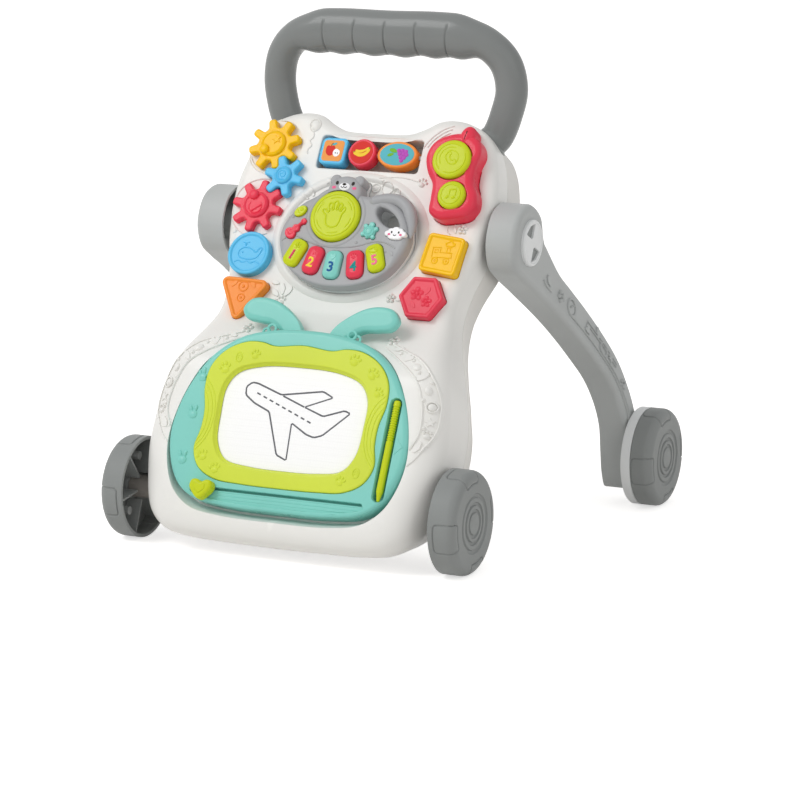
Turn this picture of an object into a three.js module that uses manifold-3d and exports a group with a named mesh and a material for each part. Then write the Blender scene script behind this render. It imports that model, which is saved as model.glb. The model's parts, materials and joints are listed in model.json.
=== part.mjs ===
// Baby push walker with a play panel, a drawing board, a carrying handle and two folding legs.
// Millimetres, +Z up. The child stands behind the walker (+Y) and the play panel faces -Y.
import * as THREE from "three";
import { mergeVertices } from "three/addons/utils/BufferGeometryUtils.js";
import Module from "manifold-3d";

const wasm = await Module();
wasm.setup();

// ---------------------------------------------------------------- driving dimensions

const CLEAR = 0.3; // gap between pieces that touch or slide
const POCKET_CLEAR = 0.5; // gap round a piece that lifts out of its pocket
const BUTTON_TRAVEL = 3;

// Leaning planes of the front, each given by one point in the side view and its lean from vertical.
const PLAY_TILT = 29.7;
const PLAY_TOP = { y: 153, z: 343.7 };
const BOARD_TILT = 24.5;
const BOARD_MIDDLE = { y: 6.4, z: 149.8 };

// Body outline on the play plane, measured down from PLAY_TOP.
const EAR_HEIGHT = 18;
const EAR_SPREAD = 72;
const CHEST_HALF = 125;
const CHEST_V = -72;
const WAIST_HALF = 110;
const WAIST_V = -155;
const BELLY_HALF = 136;
const BELLY_V = -292;
const GROUND_CLEARANCE = 10;
const BELLY_START_V = -166;
const BELLY_FULL_V = -238;
const CHEST_ROUND = 11;
const BELLY_ROUND = 24;
const CHIN_ROUND = 32;
const REAR_CHEST_ROUND = 9;
const REAR_BELLY_ROUND = 18;
const REAR_DRAFT = 6;
const BODY_DEPTH = 70;

// Legs and their pivots.
const PIVOT = { y: 139.6, z: 258.1 };
const LEG_REACH_Y = 171.4;
const LEG_INNER = 127;
const LEG_THICK = 27;
const LEG_SPLAY = 32.7;
const LEG_WALL = 3;
const LEG_BOW = 29.6;
const FOOT_TUBE_FROM = 5.5; // from the inner face of a leg
const HUB_RADIUS = 33;
const PIN_RADIUS = 11;
const CAP_RADIUS = 20;
const CAP_THICK = 4.6;
const CAP_SEAT = 2;
const PIN_SINK = 12; // into the shells, from the waist

// Wheels and axles.
const WHEEL_RADIUS = 44;
const WHEEL_WIDTH = 23;
const WHEEL_CHAMFER = 6;
const WHEEL_WALL = 3;
const FRONT_WHEEL_INNER = 144;
const AXLE_RADIUS = 3;
const AXLE_HEAD = { radius: 6, thick: 2.7 };
const AXLE_TUBE_RADIUS = 10;
const RING_THICK = 5;

// Handle.
const HANDLE_TOP_Z = 448;
const HANDLE_HALF = 113;
const HANDLE_Y = 183;
const TUBE_RADIUS = 14.2;
const GRIP_HALF_HEIGHT = 20.5;
const GRIP_HALF_DEPTH = 15;
const GRIP_PITCH = 29.8;
const GRIP_FLAT = 60; // half length of the grip at its full section
const HANDLE_FLARE = 13; // from a root of the handle out to its widest place
const HANDLE_ROOT = { v: 4, depth: 24 };
const HANDLE_RISE = 68; // from a root of the handle up to the middle of its grip

// Gears of the play panel.
const GEAR_MODULE = 5;
const GEAR_THICK = 8;
const GEAR_WELL = 2;
const BIG_GEAR_TEETH = 8;
const SMALL_GEAR_TEETH = 6;
const GEAR_TOOTH_SHARE = 0.64; // half width of a tooth at its tip, by the module
const GEAR_POST_RADIUS = 4.5;
const YELLOW_GEAR = { x: -92, v: -19 };

// Turning picture blocks in their window.
const WINDOW = { x: 0, v: -21, width: 98, height: 31, depth: 18 };
const ROD_RADIUS = 2;
const ROD_DROP = 3;
const BLOCK_THICK = 12;
const SQUARE_BLOCK = 25;
const ROUND_BLOCK = 26;
const BLOCK_GAP = 2.2; // between the blocks of the window

// Telephone.
const PHONE = { x: 87.5, v: -29, lean: 13, sink: 5, rise: 17 };
const PHONE_TOP_RADIUS = 25;
const PHONE_LOW_RADIUS = 23;

// Piano unit.
const PIANO = { x: 1, v: -108, halfWidth: 61, halfHeight: 43, sink: 10, seam: 4, rise: 16 };
const PIANO_ROUND = 6;
const RIM = { halfWidth: 72, halfHeight: 59, v: -99, width: 7, height: 4 };
const DRUM = { x: -13.9, v: -84, radius: 24 };
const KEY_WIDTH = 16;
const KEY_LENGTH = 27;
const KEY_FAN_RADIUS = 92;
const KEY_STEP_ANGLE = 12.6;
const CELL_RADIUS = 5.2;
const CELL_LENGTH = 44;

// Shape blocks.
const SHAPE_SINK = 5;
const SHAPE_RISE = 8;

// Drawing board.
const BOARD_THICK = 18;
const BOARD_PROUD = 4;
const FRAME_SEAT = 3;
const FRAME_RISE = 1.5;
const SCREEN_THICK = 4;
const SCREEN_LEDGE = 3; // what the frame covers round the drawing face
const PEN_RADIUS = 3.5;
const PEN_LENGTH = 86;
const SLOT_WIDTH = 12;

// Ballast tank in the back.
const TANK = { v: -262, halfWidth: 72, halfHeight: 42, wallBehind: 4 };
const TANK_CAP_RADIUS = 12;

// ---------------------------------------------------------------- materials

function plastic(color, roughness = 0.45) {
  return new THREE.MeshStandardMaterial({ color, roughness, metalness: 0 });
}

const WHITE = plastic(0xefeeea, 0.4);
const REAR_WHITE = plastic(0xe3e1dc, 0.45);
const GREY = plastic(0x7d807f, 0.5);
const LIGHT_GREY = plastic(0xc4c5c4, 0.45);
const PIANO_GREY = plastic(0xbebec3, 0.4);
const TEAL = plastic(0x6fcabb, 0.35);
const LIME = plastic(0xcdd94a, 0.4);
const RED = plastic(0xe8465a, 0.35);
const BLUE = plastic(0x4db2e6, 0.35);
const YELLOW = plastic(0xf9c528, 0.35);
const ORANGE = plastic(0xf08f3f, 0.35);
const SCREEN = plastic(0xf8f8f6, 0.25);
const CLOUD = plastic(0xf3f3f5, 0.35);
const STEEL = new THREE.MeshStandardMaterial({ color: 0xb9bcc0, roughness: 0.3, metalness: 1 });
const TUBE = plastic(0x96918c, 0.5);
const TANK_BLUE = plastic(0xcfe0ea, 0.25);

// ---------------------------------------------------------------- outlines and solids

const rad = THREE.MathUtils.degToRad;
const { lerp } = THREE.MathUtils;
const LEFT_RIGHT = [["left", -1], ["right", 1]];

function ramp(value, from, to) {
  const t = THREE.MathUtils.clamp((value - from) / (to - from), 0, 1);
  return t * t * (3 - 2 * t);
}

function smoothCurve(points, closed) {
  const vectors = points.map(([x, y]) => new THREE.Vector3(x, y, 0));
  return new THREE.CatmullRomCurve3(vectors, closed, "centripetal");
}

function flat(vector) {
  return new THREE.Vector2(vector.x, vector.y);
}

// Closed counter-clockwise loop through a few points.
function smoothLoop(points, samples) {
  const loop = smoothCurve(points, true).getSpacedPoints(samples).slice(0, samples).map(flat);
  return THREE.ShapeUtils.isClockWise(loop) ? loop.reverse() : loop;
}

function ellipseLoop(halfWidth, halfHeight, samples, x = 0, y = 0) {
  const turn = (2 * Math.PI) / samples;
  return Array.from({ length: samples }, (_, i) =>
    new THREE.Vector2(x + halfWidth * Math.cos(i * turn), y + halfHeight * Math.sin(i * turn)));
}

function circleLoop(radius, samples, x = 0, y = 0) {
  return ellipseLoop(radius, radius, samples, x, y);
}

// Polygon whose corners are rounded by arcs.
function roundedLoop(corners, radius, steps = 4) {
  const loop = [];
  corners.forEach(([x, y], i) => {
    const corner = new THREE.Vector2(x, y);
    const before = new THREE.Vector2(...corners.at(i - 1)).sub(corner).normalize();
    const after = new THREE.Vector2(...corners[(i + 1) % corners.length]).sub(corner).normalize();
    const half = Math.acos(before.dot(after)) / 2;
    const centre = before.clone().add(after).normalize().multiplyScalar(radius / Math.sin(half)).add(corner);
    const sweep = Math.PI - 2 * half;
    const start = Math.atan2(before.x, -before.y);
    for (let k = 0; k <= steps; k += 1) {
      const angle = start + (sweep * k) / steps;
      loop.push(new THREE.Vector2(centre.x + radius * Math.cos(angle), centre.y + radius * Math.sin(angle)));
    }
  });
  return loop;
}

function rectangle(width, height) {
  const [x, y] = [width / 2, height / 2];
  return [[-x, -y], [x, -y], [x, y], [-x, y]];
}

function movedLoop(loop, x, y, degrees = 0) {
  const centre = new THREE.Vector2();
  return loop.map((point) => point.clone().rotateAround(centre, rad(degrees)).add(new THREE.Vector2(x, y)));
}

// Moves each point of a counter-clockwise loop inwards, square to the loop.
function insetLoop(loop, inset) {
  return loop.map((point, i) => {
    const before = point.clone().sub(loop.at(i - 1)).normalize();
    const after = loop[(i + 1) % loop.length].clone().sub(point).normalize();
    const along = before.clone().add(after).normalize();
    const distance = typeof inset === "function" ? inset(point) : inset;
    const reach = distance / Math.max(along.dot(after), 0.5);
    return new THREE.Vector2(point.x - along.y * reach, point.y + along.x * reach);
  });
}

function fillWhole(loop) {
  return THREE.ShapeUtils.triangulateShape(loop, []);
}

// Closed body through rings of equal length, with both end rings filled in.
function loft(rings, fill = fillWhole) {
  const count = rings[0].length;
  const index = [];
  for (const [a, b, c] of fill(rings[0].map(flat))) {
    index.push(c, b, a);
  }
  for (let k = 0; k + 1 < rings.length; k += 1) {
    for (let i = 0; i < count; i += 1) {
      const next = (i + 1) % count;
      const [low, lowNext] = [k * count + i, k * count + next];
      index.push(low, lowNext, lowNext + count, low, lowNext + count, low + count);
    }
  }
  const top = (rings.length - 1) * count;
  for (const [a, b, c] of fill(rings.at(-1).map(flat))) {
    index.push(top + a, top + b, top + c);
  }
  const geometry = new THREE.BufferGeometry().setFromPoints(rings.flat());
  return geometry.setIndex(index);
}

// Upright body over a loop; each layer is [inset, height], from the bottom up.
function prism(loop, layers) {
  return loft(layers.map(([inset, height]) =>
    insetLoop(loop, inset).map((point) => new THREE.Vector3(point.x, point.y, height))));
}

// Plain block between two heights, with a rounded top edge.
function roundedPrism(loop, bottom, top, round, steps = 2) {
  const layers = [[0, bottom]];
  for (let k = 0; k <= steps; k += 1) {
    const angle = (Math.PI / 2) * (k / steps);
    layers.push([round * (1 - Math.cos(angle)), top - round * (1 - Math.sin(angle))]);
  }
  return prism(loop, layers);
}

function weld(geometry) {
  const bare = geometry.clone();
  bare.deleteAttribute("normal");
  bare.deleteAttribute("uv");
  const merged = mergeVertices(bare, 1e-4);
  const kept = [];
  for (let i = 0; i < merged.index.count; i += 3) {
    const [a, b, c] = [0, 1, 2].map((corner) => merged.index.getX(i + corner));
    if (a !== b && b !== c && c !== a) {
      kept.push(a, b, c);
    }
  }
  return merged.setIndex(kept);
}

function solidOf(geometry) {
  const welded = weld(geometry);
  return new wasm.Manifold(new wasm.Mesh({
    numProp: 3,
    vertProperties: Float32Array.from(welded.attributes.position.array),
    triVerts: Uint32Array.from(welded.index.array),
  }));
}

function geometryOf(solid) {
  const mesh = solid.getMesh();
  const geometry = new THREE.BufferGeometry();
  geometry.setAttribute("position", new THREE.BufferAttribute(mesh.vertProperties, 3));
  return geometry.setIndex(new THREE.BufferAttribute(mesh.triVerts, 1));
}

function combined(base, { add = [], cut = [] }) {
  let solid = solidOf(base);
  for (const geometry of add) {
    solid = solid.add(solidOf(geometry));
  }
  for (const geometry of cut) {
    solid = solid.subtract(solidOf(geometry));
  }
  return geometryOf(solid);
}

function turned(profile, segments) {
  return weld(new THREE.LatheGeometry(profile.map(([r, h]) => new THREE.Vector2(r, h)), segments));
}

// Cylinder along X between two places.
function barAlongX(radius, from, to, y, z, segments = 20) {
  const bar = new THREE.CylinderGeometry(radius, radius, Math.abs(to - from), segments);
  return bar.rotateZ(-Math.PI / 2).translate((from + to) / 2, y, z);
}

// Cylinder along local Z between two heights.
function post(radius, bottom, top, x, y, segments = 20) {
  const bar = new THREE.CylinderGeometry(radius, radius, top - bottom, segments);
  return bar.rotateX(Math.PI / 2).translate(x, y, (bottom + top) / 2);
}

function box(x0, x1, y0, y1, z0, z1) {
  return new THREE.BoxGeometry(x1 - x0, y1 - y0, z1 - z0)
    .translate((x0 + x1) / 2, (y0 + y1) / 2, (z0 + z1) / 2);
}

// ---------------------------------------------------------------- frames

const walker = new THREE.Group();
const playFace = new THREE.Group();
const boardFace = new THREE.Group();
playFace.position.set(0, PLAY_TOP.y, PLAY_TOP.z);
playFace.rotation.x = Math.PI / 2 - rad(PLAY_TILT);
boardFace.position.set(0, BOARD_MIDDLE.y, BOARD_MIDDLE.z);
boardFace.rotation.x = Math.PI / 2 - rad(BOARD_TILT);
walker.add(playFace, boardFace);
walker.updateMatrixWorld(true);

const worldToPlay = playFace.matrixWorld.clone().invert();
const boardToPlay = worldToPlay.clone().multiply(boardFace.matrixWorld);

function inPlay(x, y, z) {
  return new THREE.Vector3(x, y, z).applyMatrix4(worldToPlay);
}

function fromPlay(x, v, w) {
  return new THREE.Vector3(x, v, w).applyMatrix4(playFace.matrixWorld);
}

function piece(name, geometry, material, parent = walker) {
  const mesh = new THREE.Mesh(geometry, material);
  mesh.name = name;
  parent.add(mesh);
  return mesh;
}

// ---------------------------------------------------------------- body shells

const axleAt = inPlay(0, 0, WHEEL_RADIUS);
const pivotAt = inPlay(0, PIVOT.y, PIVOT.z);
const SEAM_W = pivotAt.z; // the two shells meet at the pivots and clamp the pins
const boardOrigin = new THREE.Vector3(0, 0, 0).applyMatrix4(boardToPlay);

function bellyRise(v) {
  const slope = Math.tan(rad(PLAY_TILT - BOARD_TILT));
  const boardPlane = boardOrigin.z + (v - boardOrigin.y) * slope;
  return (boardPlane - BOARD_PROUD) * ramp(-v, -BELLY_START_V, -BELLY_FULL_V);
}

const groundLean = Math.tan(rad(PLAY_TILT));

function groundV(w) {
  return (GROUND_CLEARANCE - PLAY_TOP.z) / Math.cos(rad(PLAY_TILT)) - w * groundLean;
}

const BOTTOM_V = groundV(0);

// Outline of the right half, from the bottom middle up to the dip between the ears.
const bodyOutline = [
  [0, BOTTOM_V], [45, BOTTOM_V + 0.5], [84, BOTTOM_V + 2], [107, BOTTOM_V + 8], [123, BOTTOM_V + 23],
  [132, BOTTOM_V + 48], [BELLY_HALF, BELLY_V], [134, BELLY_V + 34], [128, BELLY_V + 64],
  [119.5, BELLY_V + 92], [112, WAIST_V - 20], [WAIST_HALF, WAIST_V], [113, WAIST_V + 22],
  [120, WAIST_V + 48], [CHEST_HALF, CHEST_V], [CHEST_HALF - 0.5, CHEST_V + 24], [120.5, CHEST_V + 44],
  [114.5, CHEST_V + 62], [EAR_SPREAD + 33, EAR_HEIGHT - 13], [EAR_SPREAD + 18, EAR_HEIGHT - 4],
  [EAR_SPREAD + 2, EAR_HEIGHT], [EAR_SPREAD - 14, EAR_HEIGHT - 1.5], [EAR_SPREAD - 27, EAR_HEIGHT - 9],
  [EAR_SPREAD - 40, 3.5], [16, 2], [0, 2],
];
const BAND_LEVELS = [BELLY_FULL_V, -226, -214, -202, -190, -178, BELLY_START_V];
const BOTTOM_STEPS = 10;
const TOP_STEPS = 16;

function sampledHalf() {
  const mirrored = bodyOutline.slice(1, -1).reverse().map(([x, y]) => [-x, y]);
  const curve = smoothCurve([...bodyOutline, ...mirrored], true);
  const dense = curve.getSpacedPoints(1600).map(flat);
  const half = dense.filter((point, i) => i <= 800);
  const crossings = BAND_LEVELS.map((level) => half.findIndex((point) => point.x > 90 && point.y >= level));
  const first = crossings[0];
  const last = crossings.at(-1);
  const points = [];
  for (let i = 0; i < BOTTOM_STEPS; i += 1) {
    points.push(half[Math.round((first * i) / BOTTOM_STEPS)].clone());
  }
  crossings.forEach((at, i) => points.push(new THREE.Vector2(half[at].x, BAND_LEVELS[i])));
  for (let i = 1; i <= TOP_STEPS; i += 1) {
    points.push(half[Math.round(last + ((800 - last) * i) / TOP_STEPS)].clone());
  }
  points[0].x = 0;
  points.at(-1).x = 0;
  return points;
}

const halfLoop = sampledHalf();
const otherHalf = halfLoop.slice(1, -1).reverse().map((point) => new THREE.Vector2(-point.x, point.y));
const bodyLoop = [...halfLoop, ...otherHalf];

// Fills a body ring band by band, so that the filled face can bend between the bands.
function fillBands(ring) {
  const total = ring.length;
  const rights = BAND_LEVELS.map((_, k) => BOTTOM_STEPS + k);
  const range = (from, to) => Array.from({ length: to - from + 1 }, (_, i) => (from + i) % total);
  const bands = [range(total - rights[0], total + rights[0])];
  for (let k = 0; k + 1 < rights.length; k += 1) {
    bands.push([...range(rights[k], rights[k + 1]), ...range(total - rights[k + 1], total - rights[k])]);
  }
  bands.push(range(rights.at(-1), total - rights.at(-1)));
  return bands.flatMap((band) =>
    fillWhole(band.map((i) => ring[i])).map((face) => face.map((corner) => band[corner])));
}

function bodyRing(inset, height) {
  const ring = insetLoop(bodyLoop, inset);
  BAND_LEVELS.forEach((level, k) => {
    const right = BOTTOM_STEPS + k;
    ring[right].y = level;
    ring[bodyLoop.length - right].y = level;
  });
  return ring.map((point) => new THREE.Vector3(point.x, point.y, height(point.y)));
}

// Tucks the underside up so that it lies level above the ground at every depth.
function liftUnderside(geometry) {
  const position = geometry.attributes.position;
  for (let i = 0; i < position.count; i += 1) {
    const v = position.getY(i);
    const lift = (groundV(position.getZ(i)) - BELLY_FULL_V) / (BOTTOM_V - BELLY_FULL_V);
    position.setY(i, v < BELLY_FULL_V ? BELLY_FULL_V + (v - BELLY_FULL_V) * lift : v);
  }
  return geometry;
}

function frontRound(v) {
  const belly = lerp(CHEST_ROUND, BELLY_ROUND, ramp(-v, -WAIST_V, -BELLY_FULL_V));
  return lerp(belly, CHIN_ROUND, ramp(-v, -BELLY_V, -BELLY_V + 40));
}

function rearRound(v) {
  return lerp(REAR_CHEST_ROUND, REAR_BELLY_ROUND, ramp(-v, -WAIST_V, -BELLY_FULL_V));
}

const FRONT_ROUND_STEPS = 4;
const REAR_ROUND_STEPS = 2;

// Share of a rounding's inset and of its drop, from the wall (0) to the face (1).
function roundShares(share) {
  const angle = (Math.PI / 2) * share;
  return { inset: 1 - Math.cos(angle), drop: 1 - Math.sin(angle) };
}

function frontShellBlank() {
  const rings = [bodyRing(0, () => SEAM_W + CLEAR / 2)];
  for (let step = 0; step <= FRONT_ROUND_STEPS; step += 1) {
    const { inset, drop } = roundShares(step / FRONT_ROUND_STEPS);
    const height = (v) => bellyRise(v) - frontRound(v) * drop;
    rings.push(bodyRing((point) => frontRound(point.y) * inset, height));
  }
  return liftUnderside(loft(rings, fillBands));
}

function rearShellBlank() {
  const rings = [];
  for (let step = REAR_ROUND_STEPS; step >= 0; step -= 1) {
    const { inset, drop } = roundShares(step / REAR_ROUND_STEPS);
    const draft = (point) => REAR_DRAFT * ramp(-point.y, -CHEST_V, -WAIST_V);
    const height = (v) => -BODY_DEPTH + rearRound(v) * drop;
    rings.push(bodyRing((point) => draft(point) + rearRound(point.y) * inset, height));
  }
  rings.push(bodyRing(0, () => SEAM_W - CLEAR / 2));
  return liftUnderside(loft(rings, fillBands));
}

// ---------------------------------------------------------------- play panel layout

const gearPitch = (teeth) => (GEAR_MODULE * teeth) / 2;
const gearReach = (teeth) => gearPitch(teeth) + GEAR_MODULE * 0.84;
const gearRoot = (teeth) => gearPitch(teeth) - GEAR_MODULE * 0.92;
const meshDistance = gearPitch(BIG_GEAR_TEETH) + gearPitch(SMALL_GEAR_TEETH);
const BLUE_ANGLE = -59;
const RED_ANGLE = -125;
const blueGear = {
  x: YELLOW_GEAR.x + meshDistance * Math.cos(rad(BLUE_ANGLE)),
  v: YELLOW_GEAR.v + meshDistance * Math.sin(rad(BLUE_ANGLE)),
};
const redGear = {
  x: blueGear.x + meshDistance * Math.cos(rad(RED_ANGLE)),
  v: blueGear.v + meshDistance * Math.sin(rad(RED_ANGLE)),
};

const shapeBlocks = [
  { name: "round_block", material: BLUE, loop: circleLoop(20, 20, -89.5, -123) },
  {
    name: "triangle_block", material: ORANGE,
    loop: roundedLoop([[-87.5, -188.5], [-60.5, -147], [-111.5, -145.5]], 5, 3),
  },
  {
    name: "square_block", material: YELLOW,
    loop: movedLoop(roundedLoop(rectangle(35, 35), 4, 2), 93, -111, -6.5),
  },
  {
    name: "hexagon_block", material: RED,
    loop: roundedLoop(circleLoop(21, 6, 83, -151).map((p) => [p.x, p.y]), 3, 1),
  },
];

const keyPlaces = [-2, -1, 0, 1, 2].map((step) => {
  const angle = rad(step * KEY_STEP_ANGLE);
  return {
    x: KEY_FAN_RADIUS * Math.sin(angle),
    v: PIANO.v - 24 + KEY_FAN_RADIUS * (1 - Math.cos(angle)) * 0.75,
    turn: step * KEY_STEP_ANGLE * 0.85,
  };
});

const phoneLoop = movedLoop(smoothLoop([
  [0, -52], [13, -51], [21, -44], [22.5, -33], [19, -21], [20, -8], [25, 6], [21.5, 19], [10, 25.5],
  [-4, 26.5], [-18, 21], [-25, 8], [-24, -6], [-19, -18], [-20, -32], [-20.5, -44], [-12, -51],
], 28), PHONE.x, PHONE.v, PHONE.lean - 3);
const phoneAxis = new THREE.Vector2(0, 1).rotateAround(new THREE.Vector2(), rad(PHONE.lean));

const pianoLoop = smoothLoop([
  [0, -43], [26, -39], [47, -27], [60, -5], [61, 10], [54, 27], [40, 38], [22, 42], [4, 43], [-24, 41],
  [-42, 31], [-54, 16], [-60, 0], [-54, -18], [-40, -32], [-20, -41],
].map(([x, y]) => [PIANO.x + x, PIANO.v + y]), 36);
const loopHole = movedLoop(ellipseLoop(14, 7.5, 14), PIANO.x + 39, PIANO.v + 24, -33);
const bearHead = { x: -9, v: -58, radius: 17.5, earX: 12, earV: 13, earRadius: 5.5 };
const bearLoops = [
  circleLoop(bearHead.radius, 16, bearHead.x, bearHead.v),
  ...[-1, 1].map((side) =>
    circleLoop(bearHead.earRadius, 8, bearHead.x + side * bearHead.earX, bearHead.v + bearHead.earV)),
];
const windowLoop = movedLoop(roundedLoop(rectangle(WINDOW.width, WINDOW.height), 3, 2), WINDOW.x, WINDOW.v);
const faceTop = 40; // above every rise of the front, for cutting tools

// ---------------------------------------------------------------- drawing board layout

const boardLoop = smoothLoop([
  [0, -115], [50, -114], [80, -109], [98, -96], [108, -77], [112, -55], [108, -28], [98, -3], [84, 17],
  [62, 33], [34, 41], [0, 43.5], [-34, 41], [-62, 33], [-84, 17], [-98, -3], [-108, -28], [-112, -55],
  [-108, -77], [-98, -96], [-80, -109], [-50, -114],
], 36);
const frameLoop = smoothLoop([
  [0, -95], [35, -94.5], [62, -92], [78, -83], [85, -68], [82, -50], [82, -34], [86, -14], [84, 4], [73, 19],
  [55, 28], [40, 29], [27, 26.5], [0, 29], [-27, 26.5], [-40, 29], [-55, 28], [-73, 19], [-84, 4], [-86, -14],
  [-82, -34], [-82, -50], [-85, -68], [-78, -83], [-62, -92], [-35, -94.5],
], 38);
const screenLoop = smoothLoop([
  [0, -79.5], [32, -78.5], [55, -74], [65, -60], [67.5, -35], [66.5, -12], [58, 1], [36, 8.5], [0, 10.5],
  [-36, 8.5], [-58, 1], [-66.5, -12], [-67.5, -35], [-65, -60], [-55, -74], [-32, -78.5],
], 28);
const penPlace = { x: 95, v: -53, turn: 2 };
const penSlot = roundedLoop(rectangle(SLOT_WIDTH, PEN_LENGTH + 6), 4, 3);
const slotLoop = movedLoop(penSlot, penPlace.x, penPlace.v, penPlace.turn);
const trackLoop = movedLoop(roundedLoop(rectangle(160, 11), 4, 3), -2, -104);
const TRACK_DEPTH = 6;
const boardPocket = prism(insetLoop(boardLoop, -POCKET_CLEAR), [[0, -BOARD_THICK - CLEAR], [0, faceTop]]);

// ---------------------------------------------------------------- shells with their pockets

function sideBosses() {
  return LEFT_RIGHT.map(([, side]) =>
    barAlongX(PIN_RADIUS + 7, side * (WAIST_HALF - 6), side * (LEG_INNER - CLEAR), pivotAt.y, pivotAt.z, 18));
}

function pinBores() {
  return LEFT_RIGHT.map(([, side]) => {
    const [from, to] = [side * (WAIST_HALF - PIN_SINK), side * (LEG_INNER + 5)];
    return barAlongX(PIN_RADIUS + CLEAR, from, to, pivotAt.y, pivotAt.z, 14);
  });
}

const rootDirection = new THREE.Vector3(0.57, 0.82, 0).normalize();
const rootX = HANDLE_HALF - HANDLE_FLARE;
const COLLAR_RADIUS = TUBE_RADIUS + 2.6;
const COLLAR_START = 1.5;
const COLLAR_LENGTH = 5.5;

// Moves a body drawn along +Y to a root of the handle.
function atHandleRoot(geometry, side) {
  geometry.rotateZ(-side * Math.atan2(rootDirection.x, rootDirection.y));
  return geometry.translate(side * rootX, HANDLE_ROOT.v, SEAM_W);
}

// Two sockets for the tube and the seats of its collars, along the roots of the handle.
function handleSockets() {
  const sides = 14;
  const bore = (TUBE_RADIUS + POCKET_CLEAR) / Math.cos(Math.PI / sides);
  const seat = (COLLAR_RADIUS + CLEAR) / Math.cos(Math.PI / sides);
  const hole = (radius, from, side) =>
    atHandleRoot(turned([[0, from], [radius, from], [radius, 34], [0, 34]], sides), side);
  return LEFT_RIGHT.flatMap(([, side]) => [
    hole(bore, -HANDLE_ROOT.depth - CLEAR, side), hole(seat, COLLAR_START - CLEAR, side),
  ]);
}

const frontSide = box(-300, 300, -600, 200, SEAM_W + CLEAR / 2, 200);
const rearSide = box(-300, 300, -600, 200, -300, SEAM_W - CLEAR / 2);

function kept(geometry, region) {
  return geometryOf(solidOf(geometry).intersect(solidOf(region)));
}

function gearWell(place, teeth) {
  return post(gearReach(teeth) + 1, -GEAR_WELL, faceTop, place.x, place.v, 18);
}

function rimRing() {
  const inner = RIM.halfWidth - RIM.width;
  const profile = [
    [inner, -1], [RIM.halfWidth, -1], [(inner + RIM.halfWidth) / 2, RIM.height], [inner, -1],
  ];
  const squashed = RIM.halfHeight / RIM.halfWidth;
  return turned(profile, 26).rotateX(Math.PI / 2).scale(1, squashed, 1).translate(0, RIM.v, 0);
}

function frontShell() {
  const pockets = [
    boardPocket.clone().applyMatrix4(boardToPlay),
    prism(windowLoop, [[0, -WINDOW.depth], [0, faceTop]]),
    barAlongX(ROD_RADIUS + CLEAR, -WINDOW.width / 2 - 6, WINDOW.width / 2 + 6, WINDOW.v, -ROD_DROP, 12),
    gearWell(YELLOW_GEAR, BIG_GEAR_TEETH),
    gearWell(redGear, BIG_GEAR_TEETH),
    prism(insetLoop(phoneLoop, -POCKET_CLEAR), [[0, -PHONE.sink], [0, faceTop]]),
    ...[pianoLoop, ...bearLoops].map((loop) =>
      prism(insetLoop(loop, -POCKET_CLEAR), [[0, -PIANO.sink - CLEAR], [0, faceTop]])),
    ...shapeBlocks.map(({ loop }) =>
      prism(insetLoop(loop, -POCKET_CLEAR), [[0, -SHAPE_SINK - CLEAR], [0, faceTop]])),
    barAlongX(AXLE_TUBE_RADIUS + CLEAR, -200, 200, axleAt.y, axleAt.z, 16),
    ...pinBores(),
    ...handleSockets(),
  ];
  const posts = [
    post(GEAR_POST_RADIUS, -GEAR_WELL - 1, GEAR_THICK - 4, YELLOW_GEAR.x, YELLOW_GEAR.v, 10),
    post(GEAR_POST_RADIUS, -GEAR_WELL - 1, GEAR_THICK - 4, redGear.x, redGear.v, 10),
    post(GEAR_POST_RADIUS, -1, GEAR_THICK - 3, blueGear.x, blueGear.v, 10),
  ];
  const bosses = sideBosses().map((boss) => kept(boss, frontSide));
  const blank = combined(frontShellBlank(), { add: [rimRing(), ...bosses] });
  return combined(combined(blank, { cut: pockets }), { add: posts });
}

const tankLoop = roundedLoop(rectangle(2 * TANK.halfWidth, 2 * TANK.halfHeight), 14, 3);
const tankFloor = SEAM_W - TANK.wallBehind;

function rearShell() {
  const bay = prism(movedLoop(insetLoop(tankLoop, -POCKET_CLEAR), 0, TANK.v), [[0, -300], [0, tankFloor]]);
  const blank = combined(rearShellBlank(), { add: sideBosses().map((boss) => kept(boss, rearSide)) });
  return combined(blank, { cut: [bay, ...pinBores(), ...handleSockets()] });
}

piece("front_shell", frontShell(), WHITE, playFace);
piece("rear_shell", rearShell(), REAR_WHITE, playFace);

// ---------------------------------------------------------------- ballast tank

const tankOuter = -BODY_DEPTH;
const capPlace = { x: TANK.halfWidth - 22, v: TANK.v };
const CAP_SINK = 5;

function tankBlank() {
  const loop = movedLoop(tankLoop, 0, TANK.v);
  const tank = prism(loop, [[4, tankOuter], [0, tankOuter + 4], [0, tankFloor - CLEAR]]);
  const mouth = post(TANK_CAP_RADIUS + 1, tankOuter - 1, tankOuter + CAP_SINK, capPlace.x, capPlace.v, 18);
  return combined(tank, { cut: [mouth] });
}

piece("water_tank", tankBlank(), TANK_BLUE, playFace);

function tankCap() {
  const { x, v } = capPlace;
  const disc = post(TANK_CAP_RADIUS, tankOuter + 1, tankOuter + CAP_SINK - CLEAR, x, v, 18);
  const half = TANK_CAP_RADIUS - 2;
  return combined(disc, { add: [box(x - half, x + half, v - 2, v + 2, tankOuter - 2, tankOuter + 2)] });
}

piece("tank_cap", tankCap(), BLUE, playFace);

// ---------------------------------------------------------------- handle

function handleRoot(along) {
  return fromPlay(rootX + rootDirection.x * along, HANDLE_ROOT.v + rootDirection.y * along, SEAM_W);
}

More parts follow.
